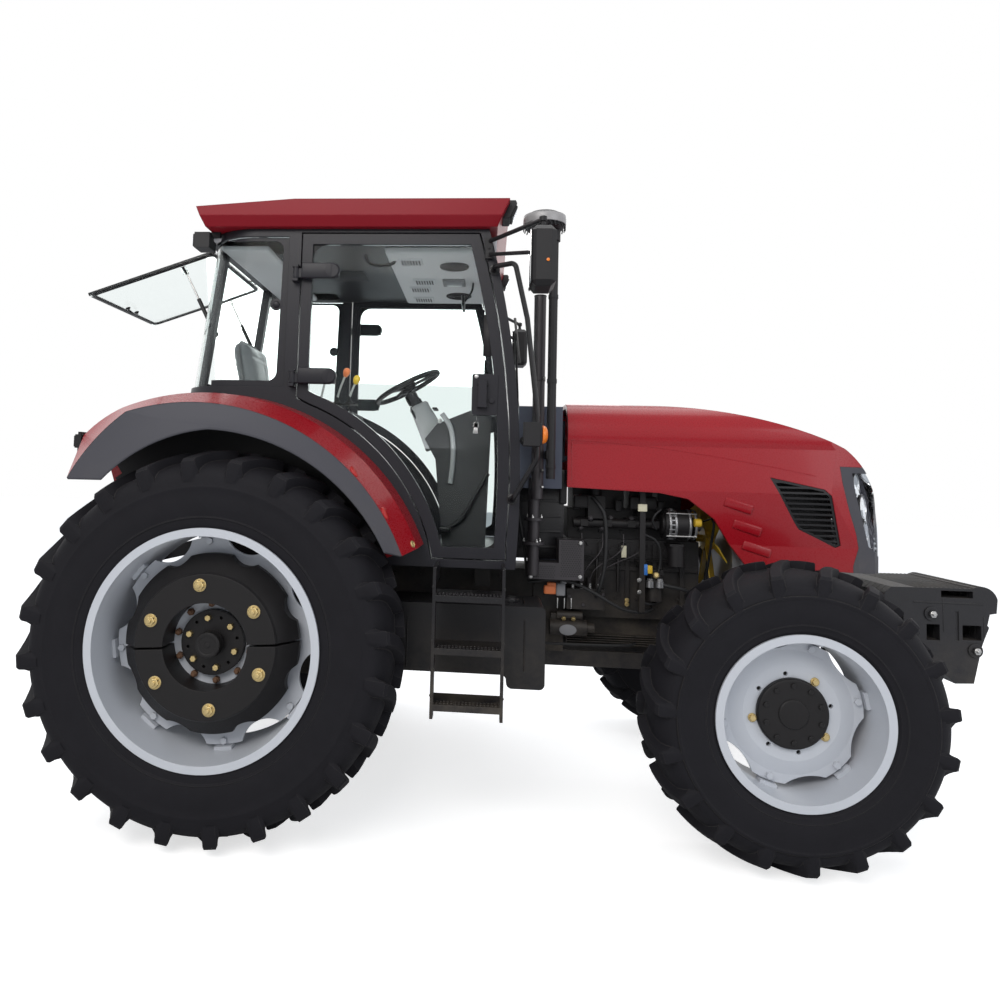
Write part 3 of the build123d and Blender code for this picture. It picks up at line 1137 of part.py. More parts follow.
def lift_arms():
    xt = LIFT_PIN_X - LIFT_LEN * cos(radians(LINK_DROP))
    zt = LIFT_PIN_Z - LIFT_LEN * sin(radians(LINK_DROP))
    shaft = rod((LIFT_PIN_X, -LINK_Y - 20, LIFT_PIN_Z), (LIFT_PIN_X, LINK_Y + 20, LIFT_PIN_Z), LIFT_SHAFT_R)
    arm = bar((LIFT_PIN_X, -LINK_Y, LIFT_PIN_Z), (xt, -LINK_Y, zt), 30, 70)
    arm = merged(arm, rod((xt, -LINK_Y - 15, zt), (xt, -LINK_Y + 15, zt), 35))
    arm -= rod((xt, -LINK_Y - 16, zt), (xt, -LINK_Y + 16, zt), 12.05)
    return merged(shaft, arm, left(arm))


def lift_rods():
    xt = LIFT_PIN_X - LIFT_LEN * cos(radians(LINK_DROP))
    zt = LIFT_PIN_Z - LIFT_LEN * sin(radians(LINK_DROP))
    xm, zm = link_point(LIFT_LEN)
    y = -LINK_Y - LIFT_ROD_OUT
    shape = rod((xt, y, zt), (xm, y, zm), 15)
    for x, z in ((xt, zt), (xm, zm)):
        shape = merged(shape, rod((x, y - 18, z), (x, y + 18, z), 28), rod((x, y, z), (x, -LINK_Y + 12, z), 12))
    return both(shape)


def top_link():
    """Turnbuckle with an eye at each end, resting on its rear bracket."""
    x, z = TOP_LINK_PIN
    body = rod((x - 90, 0, z), (x - 390, 0, z), 21)
    screw = rod((x - 20, 0, z), (x - 470, 0, z), 13)
    shape = merged(body, screw)
    for end in (x, x - 490):
        shape = merged(shape, rod((end, -22, z), (end, 22, z), 31))
        shape -= rod((end, -30, z), (end, 30, z), TOP_PIN_R + 0.05)
    return shape


def drawbar():
    """Swinging drawbar in its frame under the rear axle, with a pin hole at its end."""
    tongue = block(-640, 60, -38, 38, 420, 455)
    frame = merged(block(-320, -270, -110, 110, 454, 519.7), block(20, 60, -60, 60, 454, 519.7))
    return merged(tongue, frame) - Pos(-600, 0, 0) * along_z(Circle(DRAWBAR_HOLE_R), 410, 470)


MAKERS = {"knuckle_right": knuckle, "front_axle": front_axle, "steering_rod": steering_rod, "engine": engine,
          "auxiliaries": auxiliaries, "fan": fan, "radiator": radiator, "front_frame": front_frame,
          "front_weights": front_weights, "transmission": transmission, "fuel_tank": fuel_tank,
          "battery_box": battery_box, "steps": steps, "cab_frame": cab_frame, "cab_glass": cab_glass,
          "door_right": door, "door_glass_right": door_glass, "rear_window": rear_window,
          "strut_tubes": strut_tubes, "strut_rods": strut_rods, "roof": roof, "fenders": fenders,
          "fender_flares": fender_flares, "dash": dash, "steering_wheel": steering_wheel, "seat": seat,
          "seat_base": seat_base, "side_console": side_console, "bonnet": bonnet, "nose": nose,
          "grilles": grilles, "headlamps": headlamps, "cowl": cowl, "exhaust": exhaust,
          "air_intake": air_intake, "mirrors": mirrors, "grab_rails": grab_rails, "lamps": lamps,
          "lower_links": lower_links, "lift_arms": lift_arms, "lift_rods": lift_rods, "top_link": top_link,
          "drawbar": drawbar}

if __name__ == "__main__":
    wheels()
    for node, maker in MAKERS.items():
        save(node, maker())
    for node in ("knuckle", "door", "door_glass"):
        save(f"{node}_left", left(NODES[f"{node}_right"]))
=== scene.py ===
# %% [markdown]
# # Farm tractor
# The tractor's measured solids come in as a fixed frame: axles, cab, panels and pivots are already in
# their places. Everything below dresses that frame. Some solids only need a good finish. Others, such
# as the tyres and the seat, are built again as finer meshes that stand in for them.

# %% Load the frame
import bmesh
import bpy
from math import copysign, cos, exp, pi, radians, sin, tau
from mathutils import Matrix, Vector
from mathutils.bvhtree import BVHTree


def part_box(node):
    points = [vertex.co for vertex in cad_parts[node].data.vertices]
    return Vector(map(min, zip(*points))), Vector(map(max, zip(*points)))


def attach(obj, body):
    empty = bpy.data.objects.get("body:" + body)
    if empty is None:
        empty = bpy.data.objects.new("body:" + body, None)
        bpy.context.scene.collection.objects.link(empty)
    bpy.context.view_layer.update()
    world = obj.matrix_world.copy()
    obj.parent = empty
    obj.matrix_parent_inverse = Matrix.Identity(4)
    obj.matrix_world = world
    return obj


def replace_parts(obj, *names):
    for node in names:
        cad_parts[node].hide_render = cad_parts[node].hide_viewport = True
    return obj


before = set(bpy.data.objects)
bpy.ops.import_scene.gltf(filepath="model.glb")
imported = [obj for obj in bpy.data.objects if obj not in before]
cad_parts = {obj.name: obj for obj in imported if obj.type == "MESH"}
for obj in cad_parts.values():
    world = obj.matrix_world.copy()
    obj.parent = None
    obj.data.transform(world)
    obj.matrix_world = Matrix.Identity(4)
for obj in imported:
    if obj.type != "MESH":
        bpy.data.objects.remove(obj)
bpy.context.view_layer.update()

scene = bpy.context.scene

# %% [markdown]
# A small set of helpers keeps the later cells short. A piece is always a named mesh that rides on one
# of the frame's bodies, takes one or more finishes, and is shaded smooth with its hard edges kept.

# %% Helpers for pieces
def new_object(name, data):
    made = bpy.data.objects.new(name, data)
    scene.collection.objects.link(made)
    return made


def mesh_object(name, bm):
    """Turns a bmesh into an object and frees it."""
    mesh = bpy.data.meshes.new(name)
    bm.to_mesh(mesh)
    bm.free()
    return new_object(name, mesh)


def add_piece(name, bm, finishes, body="chassis", smooth=40.0):
    """Turns a bmesh into a finished object that rides on a body."""
    bmesh.ops.recalc_face_normals(bm, faces=bm.faces)
    piece = mesh_object(name, bm)
    for surface_finish in finishes if isinstance(finishes, (list, tuple)) else [finishes]:
        piece.data.materials.append(surface_finish)
    piece.data.shade_smooth()
    piece.data.set_sharp_from_angle(angle=radians(smooth))
    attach(piece, body)
    return piece


def square_to(axis):
    """A level direction across an axis, or X across an upright one."""
    helper = Vector((0, 0, 1)) if abs(axis.z) < 0.9 else Vector((1, 0, 0))
    return helper.cross(axis).normalized()


def basis(origin, axis, turn=0.0):
    """Frame whose local Z points along an axis."""
    z = Vector(axis).normalized()
    x = square_to(z)
    matrix = Matrix((x, z.cross(x), z)).transposed().to_4x4()
    matrix.translation = Vector(origin)
    return matrix @ Matrix.Rotation(turn, 4, "Z")


def shift(*by):
    return Matrix.Translation(by)


def spun(angle, axis="Z"):
    return Matrix.Rotation(angle, 4, axis)


def turns(count, start=0.0):
    """Evenly spaced angles of one full turn."""
    return [start + tau * index / count for index in range(count)]


def circle(place, radius, steps, height=0.0):
    """Points round a frame's Z axis."""
    return [place @ Vector((radius * cos(a), radius * sin(a), height)) for a in turns(steps)]


def skin(bm, rows, material=0, around=False, closed=False):
    """Faces between neighbouring rows of vertices. Around joins each row's ends, closed the outer rows."""
    for low, high in zip(rows, rows[1:] + rows[:1] if closed else rows[1:]):
        for index in range(len(low) if around else len(low) - 1):
            after = (index + 1) % len(low)
            bm.faces.new((low[index], low[after], high[after], high[index])).material_index = material


def lathe(bm, profile, place, steps=32, material=0, closed=False):
    """Turns (radius, height) points round a frame's Z axis."""
    rings = [[bm.verts.new(point) for point in circle(place, radius, steps, height)]
             for radius, height in profile]
    skin(bm, rings, material, around=True, closed=closed)
    for end in () if closed else (0, -1):
        if profile[end][0] > 1e-5:
            bm.faces.new(rings[end]).material_index = material


def plug(bm, radii, heights, place, steps=32, material=0):
    """Turned plug: straight from its foot to its shoulder, then in to a smaller flat top."""
    (wide, narrow), (foot, shoulder, top) = radii, heights
    lathe(bm, [(wide, foot), (wide, shoulder), (narrow, top), (0.0, top)], place, steps, material)


def slab(bm, low, high, place=None, bevel=0.0, segments=2, material=0):
    """Box between two corners with rounded edges."""
    verts = bmesh.ops.create_cube(bm, size=1.0)["verts"]
    size = [b - a for a, b in zip(low, high)]
    middle = [(a + b) / 2 for a, b in zip(low, high)]
    for vert in verts:
        vert.co = Vector(c * s + m for c, s, m in zip(vert.co, size, middle))
    faces = {face for vert in verts for face in vert.link_faces}
    for face in faces:
        face.material_index = material
    if bevel:
        edges = {edge for vert in verts for edge in vert.link_edges}
        made = bmesh.ops.bevel(bm, geom=list(edges), offset=bevel, segments=segments, affect="EDGES",
                               profile=0.5, material=-1)
        verts = {vert for face in made["faces"] for vert in face.verts}
        verts |= {vert for face in faces if face.is_valid for vert in face.verts}
    for vert in verts if place else ():
        vert.co = place @ vert.co


def slabs(bm, rows, segments=2):
    """Several upright boxes, each a row of low corner, high corner, bevel and material."""
    for low, high, bevel, material in rows:
        slab(bm, low, high, bevel=bevel, segments=segments, material=material)


def hexagon(bm, place, radius, height, material=0, chamfer=0.12):
    """Hexagonal head with its top corners turned off."""
    outline = ((radius, 0), (radius, 0.86 * height), (radius * (1 - chamfer), height))
    rings = [[bm.verts.new(point) for point in circle(place, r, 6, z)] for r, z in outline]
    skin(bm, rings, material, around=True)
    bm.faces.new(rings[-1]).material_index = material


def tube(bm, points, radius, steps=10, material=0, smooth=3):
    """Round tube along a soft line through its points."""
    line = [Vector(p) for p in points]
    for _ in range(smooth if len(line) > 2 else 0):
        finer = [line[0]]
        for a, b in zip(line, line[1:]):
            finer += [a.lerp(b, 0.25), a.lerp(b, 0.75)]
        line = finer + [line[-1]]
    side = None
    rings = []
    for index, point in enumerate(line):
        ahead = (line[min(index + 1, len(line) - 1)] - line[max(index - 1, 0)]).normalized()
        side = (side - ahead * side.dot(ahead)).normalized() if side else square_to(ahead)
        other = ahead.cross(side)
        rings.append([bm.verts.new(point + (side * cos(a) + other * sin(a)) * radius) for a in turns(steps)])
    skin(bm, rings, material, around=True)
    for end in (0, -1):
        bm.faces.new(rings[end]).material_index = material


# %% [markdown]
# Each finish has detail of its own, but the causes of that detail are shared: cast skins are grainy,
# paint drifts a little in tone, dust settles low down and on flat tops, and sharp edges catch light.
# Those four are node groups, built once and placed in every finish with its own values.

# %% Node groups
def new_group(name, inputs, outputs):
    group = bpy.data.node_groups.new(name, "ShaderNodeTree")
    for label, kind, value in inputs:
        group.interface.new_socket(name=label, in_out="INPUT", socket_type=kind).default_value = value
    for label, kind in outputs:
        group.interface.new_socket(name=label, in_out="OUTPUT", socket_type=kind)
    return group, group.nodes.new("NodeGroupInput").outputs, group.nodes.new("NodeGroupOutput").inputs


def put(tree, kind, links=(), **settings):
    """Adds a node and gives its outputs; links are (input, source socket or value)."""
    node = tree.nodes.new("ShaderNode" + kind)
    for key, value in settings.items():
        setattr(node, key, value)
    for key, source in links:
        if isinstance(source, bpy.types.NodeSocket):
            tree.links.new(source, node.inputs[key])
        else:
            node.inputs[key].default_value = source
    return node.outputs


def calc(tree, operation, a, b, clamp=False):
    """A sum of two sockets or values."""
    return put(tree, "Math", [(0, a), (1, b)], operation=operation, use_clamp=clamp)[0]


FLOAT, COLOR, VECTOR = "NodeSocketFloat", "NodeSocketColor", "NodeSocketVector"

drift_group, given, result = new_group("tone drift", [("Color", COLOR, (0.5, 0.5, 0.5, 1)),
                                                      ("Scale", FLOAT, 6.0), ("Amount", FLOAT, 0.15)],
                                       [("Color", COLOR)])
noise = put(drift_group, "TexNoise", [("Vector", put(drift_group, "TexCoord")["Object"]),
                                      ("Scale", given["Scale"]), ("Detail", 5.0), ("Roughness", 0.6)])
value = calc(drift_group, "SUBTRACT", noise["Fac"], 0.5)
value = calc(drift_group, "ADD", calc(drift_group, "MULTIPLY", value, given["Amount"]), 1.0)
drifted = put(drift_group, "HueSaturation", [("Value", value), ("Color", given["Color"])])
drift_group.links.new(drifted[0], result[0])

grain_group, given, result = new_group("grain", [("Scale", FLOAT, 300.0), ("Stretch", VECTOR, (1, 1, 1))],
                                       [("Height", FLOAT)])
stretched = put(grain_group, "VectorMath",
                [(0, put(grain_group, "TexCoord")["Object"]), (1, given["Stretch"])], operation="MULTIPLY")
noise = put(grain_group, "TexNoise", [("Vector", stretched[0]), ("Scale", given["Scale"]), ("Detail", 4.0),
                                      ("Roughness", 0.65)])
grain_group.links.new(noise["Fac"], result[0])

dust_group, given, result = new_group("settled dust", [("Height", FLOAT, 0.9), ("Reach", FLOAT, 0.8),
                                                       ("Tops", FLOAT, 0.3), ("Amount", FLOAT, 0.5)],
                                      [("Mask", FLOAT)])
where = put(dust_group, "TexCoord")["Object"]
low = calc(dust_group, "SUBTRACT", given["Height"], put(dust_group, "SeparateXYZ", [(0, where)])[2])
low = calc(dust_group, "DIVIDE", low, given["Reach"], clamp=True)
facing = put(dust_group, "SeparateXYZ", [(0, put(dust_group, "NewGeometry")["Normal"])])[2]
tops = calc(dust_group, "MULTIPLY", facing, given["Tops"], clamp=True)
settled = calc(dust_group, "ADD", low, tops, clamp=True)
noise = put(dust_group, "TexNoise", [("Vector", where), ("Scale", 7.0), ("Detail", 8.0), ("Roughness", 0.7)])
patchy = put(dust_group, "MapRange", [("Value", noise["Fac"]), ("From Min", 0.35), ("From Max", 0.7)])
mask = calc(dust_group, "MULTIPLY", settled, patchy[0])
dust_group.links.new(calc(dust_group, "MULTIPLY", mask, given["Amount"], clamp=True), result[0])

edge_group, given, result = new_group("soft edges", [("Radius", FLOAT, 0.003)],
                                      [("Normal", VECTOR), ("Edge", FLOAT)])
rounded = put(edge_group, "Bevel", [("Radius", given["Radius"])], samples=3)
likeness = put(edge_group, "VectorMath", [(0, rounded[0]), (1, put(edge_group, "NewGeometry")["Normal"])],
               operation="DOT_PRODUCT")
# The edge mask carries a painted highlight along edges, partly standing for rubbed paint.
edge_wear_and_highlight_mask = put(edge_group, "MapRange", [("Value", likeness["Value"]), ("From Min", 0.97), ("From Max", 0.8),
                                    ("To Min", 0.0), ("To Max", 1.0)])
edge_group.links.new(rounded[0], result[0])
edge_group.links.new(edge_wear_and_highlight_mask[0], result[1])
print("groups", [group.name for group in bpy.data.node_groups])

# %% [markdown]
# A finish is a Principled shader. Its colour drifts in tone, dust lies over it where it would gather,
# edges take a colour of their own, mostly a painted highlight and partly paint rubbed thin, and a fine
# bump gives the skin of cast iron, moulded plastic or rubber. Rounding the shading at edges saves
# bevelling every solid.

# %% Finishes
DUST = (0.33, 0.27, 0.2, 1)


def finish(name, color, rough, metal=0.0, drift=0.12, drift_scale=5.0, grain=300.0, bump=0.15, depth=0.0006,
           stretch=(1, 1, 1), dust=None, edge=0.003, edge_wear_and_highlight=None, rough_drift=0.12, specular=0.5, **sockets):
    """A material. Dust is its amount, height, reach and share on tops; the edge colour its amount, red,
    green and blue, blended in at edges as partly rubbed paint and partly a painted highlight.

    Extra names are the Principled shader's own inputs.
    """
    material = bpy.data.materials.new(name)
    material.use_nodes = True
    tree = material.node_tree
    shader = tree.nodes["Principled BSDF"]

    def blend(factor, under, over, kind="RGBA"):
        first, out = (6, 2) if kind == "RGBA" else (2, 0)
        return put(tree, "Mix", [("Factor", factor), (first, under), (first + 1, over)], data_type=kind)[out]

    paint = put(tree, "Group", [("Color", (*color, 1)), ("Scale", drift_scale), ("Amount", drift)],
                node_tree=drift_group)[0]
    soft = put(tree, "Group", [("Radius", edge)], node_tree=edge_group)
    # Edges are blended towards the edge colour: a painted highlight, partly rubbed paint.
    if edge_wear_and_highlight:
        paint = blend(calc(tree, "MULTIPLY", soft["Edge"], edge_wear_and_highlight[0], clamp=True), paint, (*edge_wear_and_highlight[1:], 1))
    height = put(tree, "Group", [("Scale", grain), ("Stretch", stretch)], node_tree=grain_group)[0]
    gloss = put(tree, "MapRange", [("Value", height), ("From Min", 0.3), ("From Max", 0.7),
                                   ("To Min", max(rough - rough_drift, 0.02)),
                                   ("To Max", min(rough + rough_drift, 1.0))])[0]
    if dust:
        settled = put(tree, "Group", list(zip(("Amount", "Height", "Reach", "Tops"), dust)),
                      node_tree=dust_group)[0]
        paint = blend(settled, paint, DUST)
        gloss = blend(settled, gloss, 0.85, "FLOAT")
    relief = put(tree, "Bump", [("Height", height), ("Strength", bump), ("Distance", depth),
                                ("Normal", soft["Normal"])])
    for key, source in (("Base Color", paint), ("Roughness", gloss), ("Normal", relief[0])):
        tree.links.new(source, shader.inputs[key])
    for key, number in {"Metallic": metal, "Specular_IOR_Level": specular, **sockets}.items():
        shader.inputs[key.replace("_", " ")].default_value = number
    return material

RED = finish("red paint", (0.315, 0.005, 0.012), 0.28, drift=0.1, drift_scale=2.5, grain=160, bump=0.04,
             dust=(0.25, 1.35, 0.9, 0.05), edge=0.006, edge_wear_and_highlight=(0.1, 0.5, 0.08, 0.08), rough_drift=0.04,
             specular=0.28, Coat_Weight=0.22, Coat_Roughness=0.08)
RIM = finish("white rim paint", (0.54, 0.56, 0.6), 0.36, drift=0.05, grain=220, bump=0.05, edge=0.003,
             edge_wear_and_highlight=(0.12, 0.45, 0.43, 0.4), rough_drift=0.06)
# The rubber's light edge colour is a painted highlight on the lug edges.
RUBBER = finish("tyre rubber", (0.0095, 0.009, 0.0115), 0.72, drift=0.5, drift_scale=9, grain=420, bump=0.35,
                depth=0.0008, edge=0.004, edge_wear_and_highlight=(0.4, 0.1, 0.094, 0.085), specular=0.16)
CAST = finish("black casting", (0.01, 0.009, 0.01), 0.5, drift=0.4, grain=240, bump=0.5, depth=0.0012,
              dust=(0.35, 1.2, 0.8, 0.06), edge=0.004, edge_wear_and_highlight=(0.2, 0.07, 0.068, 0.068), specular=0.3)
IRON = finish("wheel iron", (0.011, 0.01, 0.0105), 0.46, drift=0.3, grain=260, bump=0.4, depth=0.0008,
              edge=0.005, edge_wear_and_highlight=(0.25, 0.1, 0.097, 0.095), specular=0.24)
# Its large share on tops lightens every upward-facing face towards the dust colour.
GREY_CAST = finish("grey casting", (0.015, 0.0145, 0.017), 0.55, drift=0.35, grain=200, bump=0.6,
                   depth=0.0014, dust=(0.45, 0.9, 0.9, 0.35), edge=0.005, edge_wear_and_highlight=(0.25, 0.11, 0.108, 0.105),
                   specular=0.35)
BLACK = finish("black paint", (0.0055, 0.005, 0.0065), 0.34, drift=0.3, grain=260, bump=0.08,
               dust=(0.3, 1.0, 0.6, 0.05), edge=0.003, edge_wear_and_highlight=(0.25, 0.08, 0.075, 0.07), specular=0.35)
FRAME = finish("cab frame paint", (0.015, 0.0145, 0.019), 0.36, drift=0.15, grain=260, bump=0.08, edge=0.004,
               edge_wear_and_highlight=(0.12, 0.08, 0.078, 0.08), specular=0.25)
FLARE = finish("charcoal plastic", (0.05, 0.05, 0.061), 0.55, drift=0.12, grain=500, bump=0.25,
               dust=(0.2, 1.7, 1.2, 0.05), edge=0.004, specular=0.35)
PLASTIC = finish("black plastic", (0.01, 0.0095, 0.011), 0.5, drift=0.2, grain=480, bump=0.25,
                 dust=(0.2, 1.0, 0.7, 0.05), edge=0.004, specular=0.3)
TRIM = finish("grey trim", (0.026, 0.025, 0.028), 0.6, drift=0.1, grain=520, bump=0.3, edge=0.005,
              specular=0.3)
PALE_TRIM = finish("pale grey trim", (0.22, 0.22, 0.23), 0.6, drift=0.08, grain=520, bump=0.25, edge=0.004,
                   specular=0.3)
COWL = finish("blue-grey panel", (0.062, 0.07, 0.1), 0.42, drift=0.1, grain=420, bump=0.12, edge=0.004,
              specular=0.35)
STEEL = finish("bright steel", (0.46, 0.455, 0.45), 0.32, metal=1.0, drift=0.15, grain=160, bump=0.08,
               stretch=(1, 1, 8))
PIPE = finish("heat-stained pipe", (0.038, 0.034, 0.038), 0.44, metal=0.35, drift=0.5, drift_scale=8,
              grain=180, bump=0.15)
ALLOY = finish("cast alloy", (0.3, 0.3, 0.31), 0.42, metal=0.85, drift=0.25, grain=260, bump=0.3)
ZINC = finish("yellow zinc", (0.56, 0.43, 0.2), 0.34, metal=0.75, drift=0.35, drift_scale=40, grain=200,
              bump=0.1)
RUST = finish("rusty nut", (0.16, 0.085, 0.048), 0.7, metal=0.35, drift=0.9, drift_scale=60, grain=500,
              bump=0.6)
AMBER = finish("amber lens", (0.8, 0.2, 0.012), 0.18, drift=0.1, grain=120, bump=0.1)
RED_LENS = finish("red lens", (0.42, 0.012, 0.01), 0.16, drift=0.1, grain=120, bump=0.1)
YELLOW = finish("yellow fan plastic", (0.62, 0.4, 0.03), 0.45, drift=0.2, grain=300, bump=0.1)
CREAM = finish("cream connector plastic", (0.66, 0.62, 0.46), 0.5, drift=0.1, grain=400, bump=0.1)
BLUE = finish("blue plastic", (0.03, 0.16, 0.5), 0.4, drift=0.1, grain=400, bump=0.1)
HOSE = finish("rubber hose", (0.013, 0.013, 0.014), 0.55, drift=0.3, grain=600, bump=0.2, specular=0.35)
ORANGE = finish("orange sleeve", (0.72, 0.19, 0.06), 0.5, drift=0.2, drift_scale=40, grain=400, bump=0.2)
CEILING = finish("ceiling lining", (0.62, 0.63, 0.65), 0.85, drift=0.05, grain=700, bump=0.3)
CLOTH = finish("seat cloth", (0.13, 0.135, 0.145), 0.75, drift=0.25, drift_scale=30, grain=900, bump=0.5,
               depth=0.0008, edge=0.003, Sheen_Weight=0.25, Coat_Weight=0.35, Coat_Roughness=0.18)
CLOUDY = finish("cloudy plastic", (0.34, 0.33, 0.33), 0.3, drift=0.25, drift_scale=30, grain=260, bump=0.1)
ROOF_RED = finish("roof red", (0.23, 0.007, 0.015), 0.34, drift=0.08, drift_scale=2.0, grain=160, bump=0.04,
                  edge=0.008, edge_wear_and_highlight=(0.08, 0.42, 0.07, 0.07), rough_drift=0.04, specular=0.16)
VINYL = finish("seat piping", (0.1, 0.1, 0.105), 0.45, drift=0.15, grain=700, bump=0.3, edge=0.002)
print("finishes", len(bpy.data.materials))

# %% [markdown]
# Window glass is a thin clear shell. A plain glass shader would block the lamps and leave the cab dark,
# so shadow rays pass through it as if it weren't there, while the eye still sees its gloss and tint.
# Lamp lenses are made the same way with a tint of their own.

# %% Clear finishes
def clear_finish(name, color, rough=0.03, tint=(1, 1, 1), bump=0.0, scale=30.0):
    """A clear material whose shadow takes only the tint."""
    material = finish(name, color, rough, drift=0.03, grain=scale, bump=bump, depth=0.001, edge=0.002,
                      rough_drift=rough * 0.5, Transmission_Weight=1.0, IOR=1.12)
    tree = material.node_tree
    shader, end = tree.nodes["Principled BSDF"], tree.nodes["Material Output"]
    through = put(tree, "BsdfTransparent", [("Color", (*tint, 1))])
    in_shadow = put(tree, "LightPath")["Is Shadow Ray"]
    mix = put(tree, "MixShader", [(0, in_shadow), (1, shader.outputs[0]), (2, through[0])])
    tree.links.new(mix[0], end.inputs["Surface"])
    return material


GLASS = clear_finish("window glass", (0.9, 0.95, 0.94), tint=(0.9, 0.94, 0.93))
LENS = clear_finish("lamp lens", (0.92, 0.94, 0.97), rough=0.06, bump=0.25, scale=22)
MIRROR = finish("mirror glass", (0.82, 0.83, 0.84), 0.03, metal=1.0, drift=0.02, grain=60, bump=0.01,
                rough_drift=0.01)

# %% [markdown]
# The solids that already have the right shape keep it and only take a finish. Each node is named once
# in this table.

# %% Finish the carried-over solids
NODE_FINISH = {
    RED: ["fenders", "bonnet"],
    ROOF_RED: ["roof"],
    RIM: ["rear_rim_right", "rear_rim_left", "front_rim_right", "front_rim_left"],
    RUBBER: ["rear_tyre_right", "rear_tyre_left", "front_tyre_right", "front_tyre_left"],
    CAST: ["engine", "auxiliaries", "transmission"],
    IRON: ["rear_hub_right", "rear_hub_left", "wheel_weight_right", "wheel_weight_left", "front_hub_right",
           "front_hub_left"],
    GREY_CAST: ["knuckle_right", "knuckle_left", "front_axle", "front_frame", "front_weights", "lift_arms",
                "drawbar"],
    STEEL: ["steering_rod", "strut_rods"],
    FRAME: ["cab_frame", "door_right", "door_left"],
    BLACK: ["steps", "strut_tubes", "seat_base", "grab_rails", "lower_links", "lift_rods", "top_link",
            "grilles"],
    FLARE: ["fender_flares", "nose"],
    PLASTIC: ["fuel_tank", "battery_box", "steering_wheel", "mirrors", "lamps", "air_intake"],
    TRIM: ["dash", "side_console", "seat"],
    COWL: ["cowl"],
    PIPE: ["exhaust"],
    ALLOY: ["radiator"],
    YELLOW: ["fan"],
    GLASS: ["cab_glass", "door_glass_right", "door_glass_left", "rear_window"],
    LENS: ["headlamps"],
}
finished = set()
for node_finish, nodes in NODE_FINISH.items():
    for node in nodes:
        for material_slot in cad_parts[node].material_slots:
            material_slot.material = node_finish
        finished.add(node)
print("nodes without a finish:", sorted(set(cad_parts) - finished))

# %% [markdown]
# The camera stands off the right side at head height, a little ahead of the cab, and looks almost
# square on. The lens is shifted slightly instead of tilted.

# %% Camera
def camera_axes(yaw, pitch, roll):
    """The camera's own three axes for angles in radians."""
    look = Vector((sin(yaw) * cos(pitch), cos(yaw) * cos(pitch), sin(pitch)))
    across = Vector((cos(yaw), -sin(yaw), 0))
    up = across.cross(look)
    return (cos(roll) * across + sin(roll) * up, -sin(roll) * across + cos(roll) * up, -look)


WIDTH, FOCAL, CENTRE = 1000, 754.985, (422.928, 425.216)
camera_data = bpy.data.cameras.new("camera")
camera_data.sensor_width = 36
camera_data.lens = FOCAL * camera_data.sensor_width / WIDTH
camera_data.shift_x = 0.5 - CENTRE[0] / WIDTH
camera_data.shift_y = CENTRE[1] / WIDTH - 0.5
camera_data.clip_start = 0.05
camera = new_object("camera", camera_data)
camera.matrix_world = Matrix(camera_axes(-0.08506, 0.06552, 0.02833)).transposed().to_4x4()
camera.location = (1.1778, -4.289, 1.6034)
scene.camera = camera

# %% [markdown]
# Large soft lamps and an even pale sky light the tractor as an overcast day would, and a faint lamp
# stands for light bounced about in the cab. The floor is a wide pale sheet. Seen directly it is nearly
# white, while its own shading keeps the shadow under the wheels.

# %% Light and floor
scene.view_settings.view_transform = "Standard"
world = bpy.data.worlds.new("pale sky")
scene.world = world
world.use_nodes = True
sky = world.node_tree
background = sky.nodes["Background"]
background.inputs["Color"].default_value = (0.8, 0.86, 0.95, 1)
background.inputs["Strength"].default_value = 0.45
white = put(sky, "Background", [("Color", (1, 1, 1, 1)), ("Strength", 1.0)])
path = put(sky, "LightPath")
seen = calc(sky, "MAXIMUM", path["Is Camera Ray"], path["Is Transmission Ray"])
seen = calc(sky, "MAXIMUM", seen, path["Is Glossy Ray"])
sky_mix = put(sky, "MixShader", [(0, seen), (1, background.outputs[0]), (2, white[0])])
sky.links.new(sky_mix[0], sky.nodes["World Output"].inputs["Surface"])


def soft_lamp(name, place, target, size, power, color=(1, 1, 1)):
    """A rectangular lamp turned to a target."""
    data = bpy.data.lights.new(name, "AREA")
    data.shape = "RECTANGLE"
    data.size, data.size_y = size
    data.energy = power
    data.color = color
    lamp = new_object(name, data)
    lamp.location = place
    lamp.rotation_euler = (Vector(target) - Vector(place)).to_track_quat("-Z", "Y").to_euler()


soft_lamp("key", (-1.5, -7.5, 6.5), (1.2, 0, 1.2), (6, 4), 400, (1.0, 0.97, 0.93))
soft_lamp("fill", (6.5, -5.0, 3.5), (1.8, 0, 1.2), (4, 4), 110, (0.93, 0.96, 1.0))
soft_lamp("top", (1.2, 1.5, 8.0), (1.2, 0, 1.5), (7, 5), 185)
soft_lamp("cab bounce", (0.55, 0, 1.75), (0.55, 0, 2.8), (1.0, 0.9), 5)
soft_lamp("back", (0.0, 8.0, 5.0), (1.0, 0, 1.5), (7, 4), 165)

bm = bmesh.new()
bmesh.ops.create_grid(bm, x_segments=2, y_segments=2, size=30)
floor = mesh_object("floor", bm)
pale = bpy.data.materials.new("pale floor")
pale.use_nodes = True
tree = pale.node_tree
matt = tree.nodes["Principled BSDF"]
matt.inputs["Base Color"].default_value = (0.8, 0.8, 0.8, 1)
matt.inputs["Roughness"].default_value = 0.9
glow = put(tree, "Emission", [("Color", (1, 1, 1, 1)), ("Strength", 0.66)])
lift = put(tree, "AddShader", [(0, matt.outputs[0]), (1, glow[0])])
mix = put(tree, "MixShader", [(0, put(tree, "LightPath")["Is Camera Ray"]), (1, matt.outputs[0]),
                              (2, lift[0])])
tree.links.new(mix[0], tree.nodes["Material Output"].inputs["Surface"])
floor.data.materials.append(pale)
print("camera at", tuple(round(v, 3) for v in camera.location))

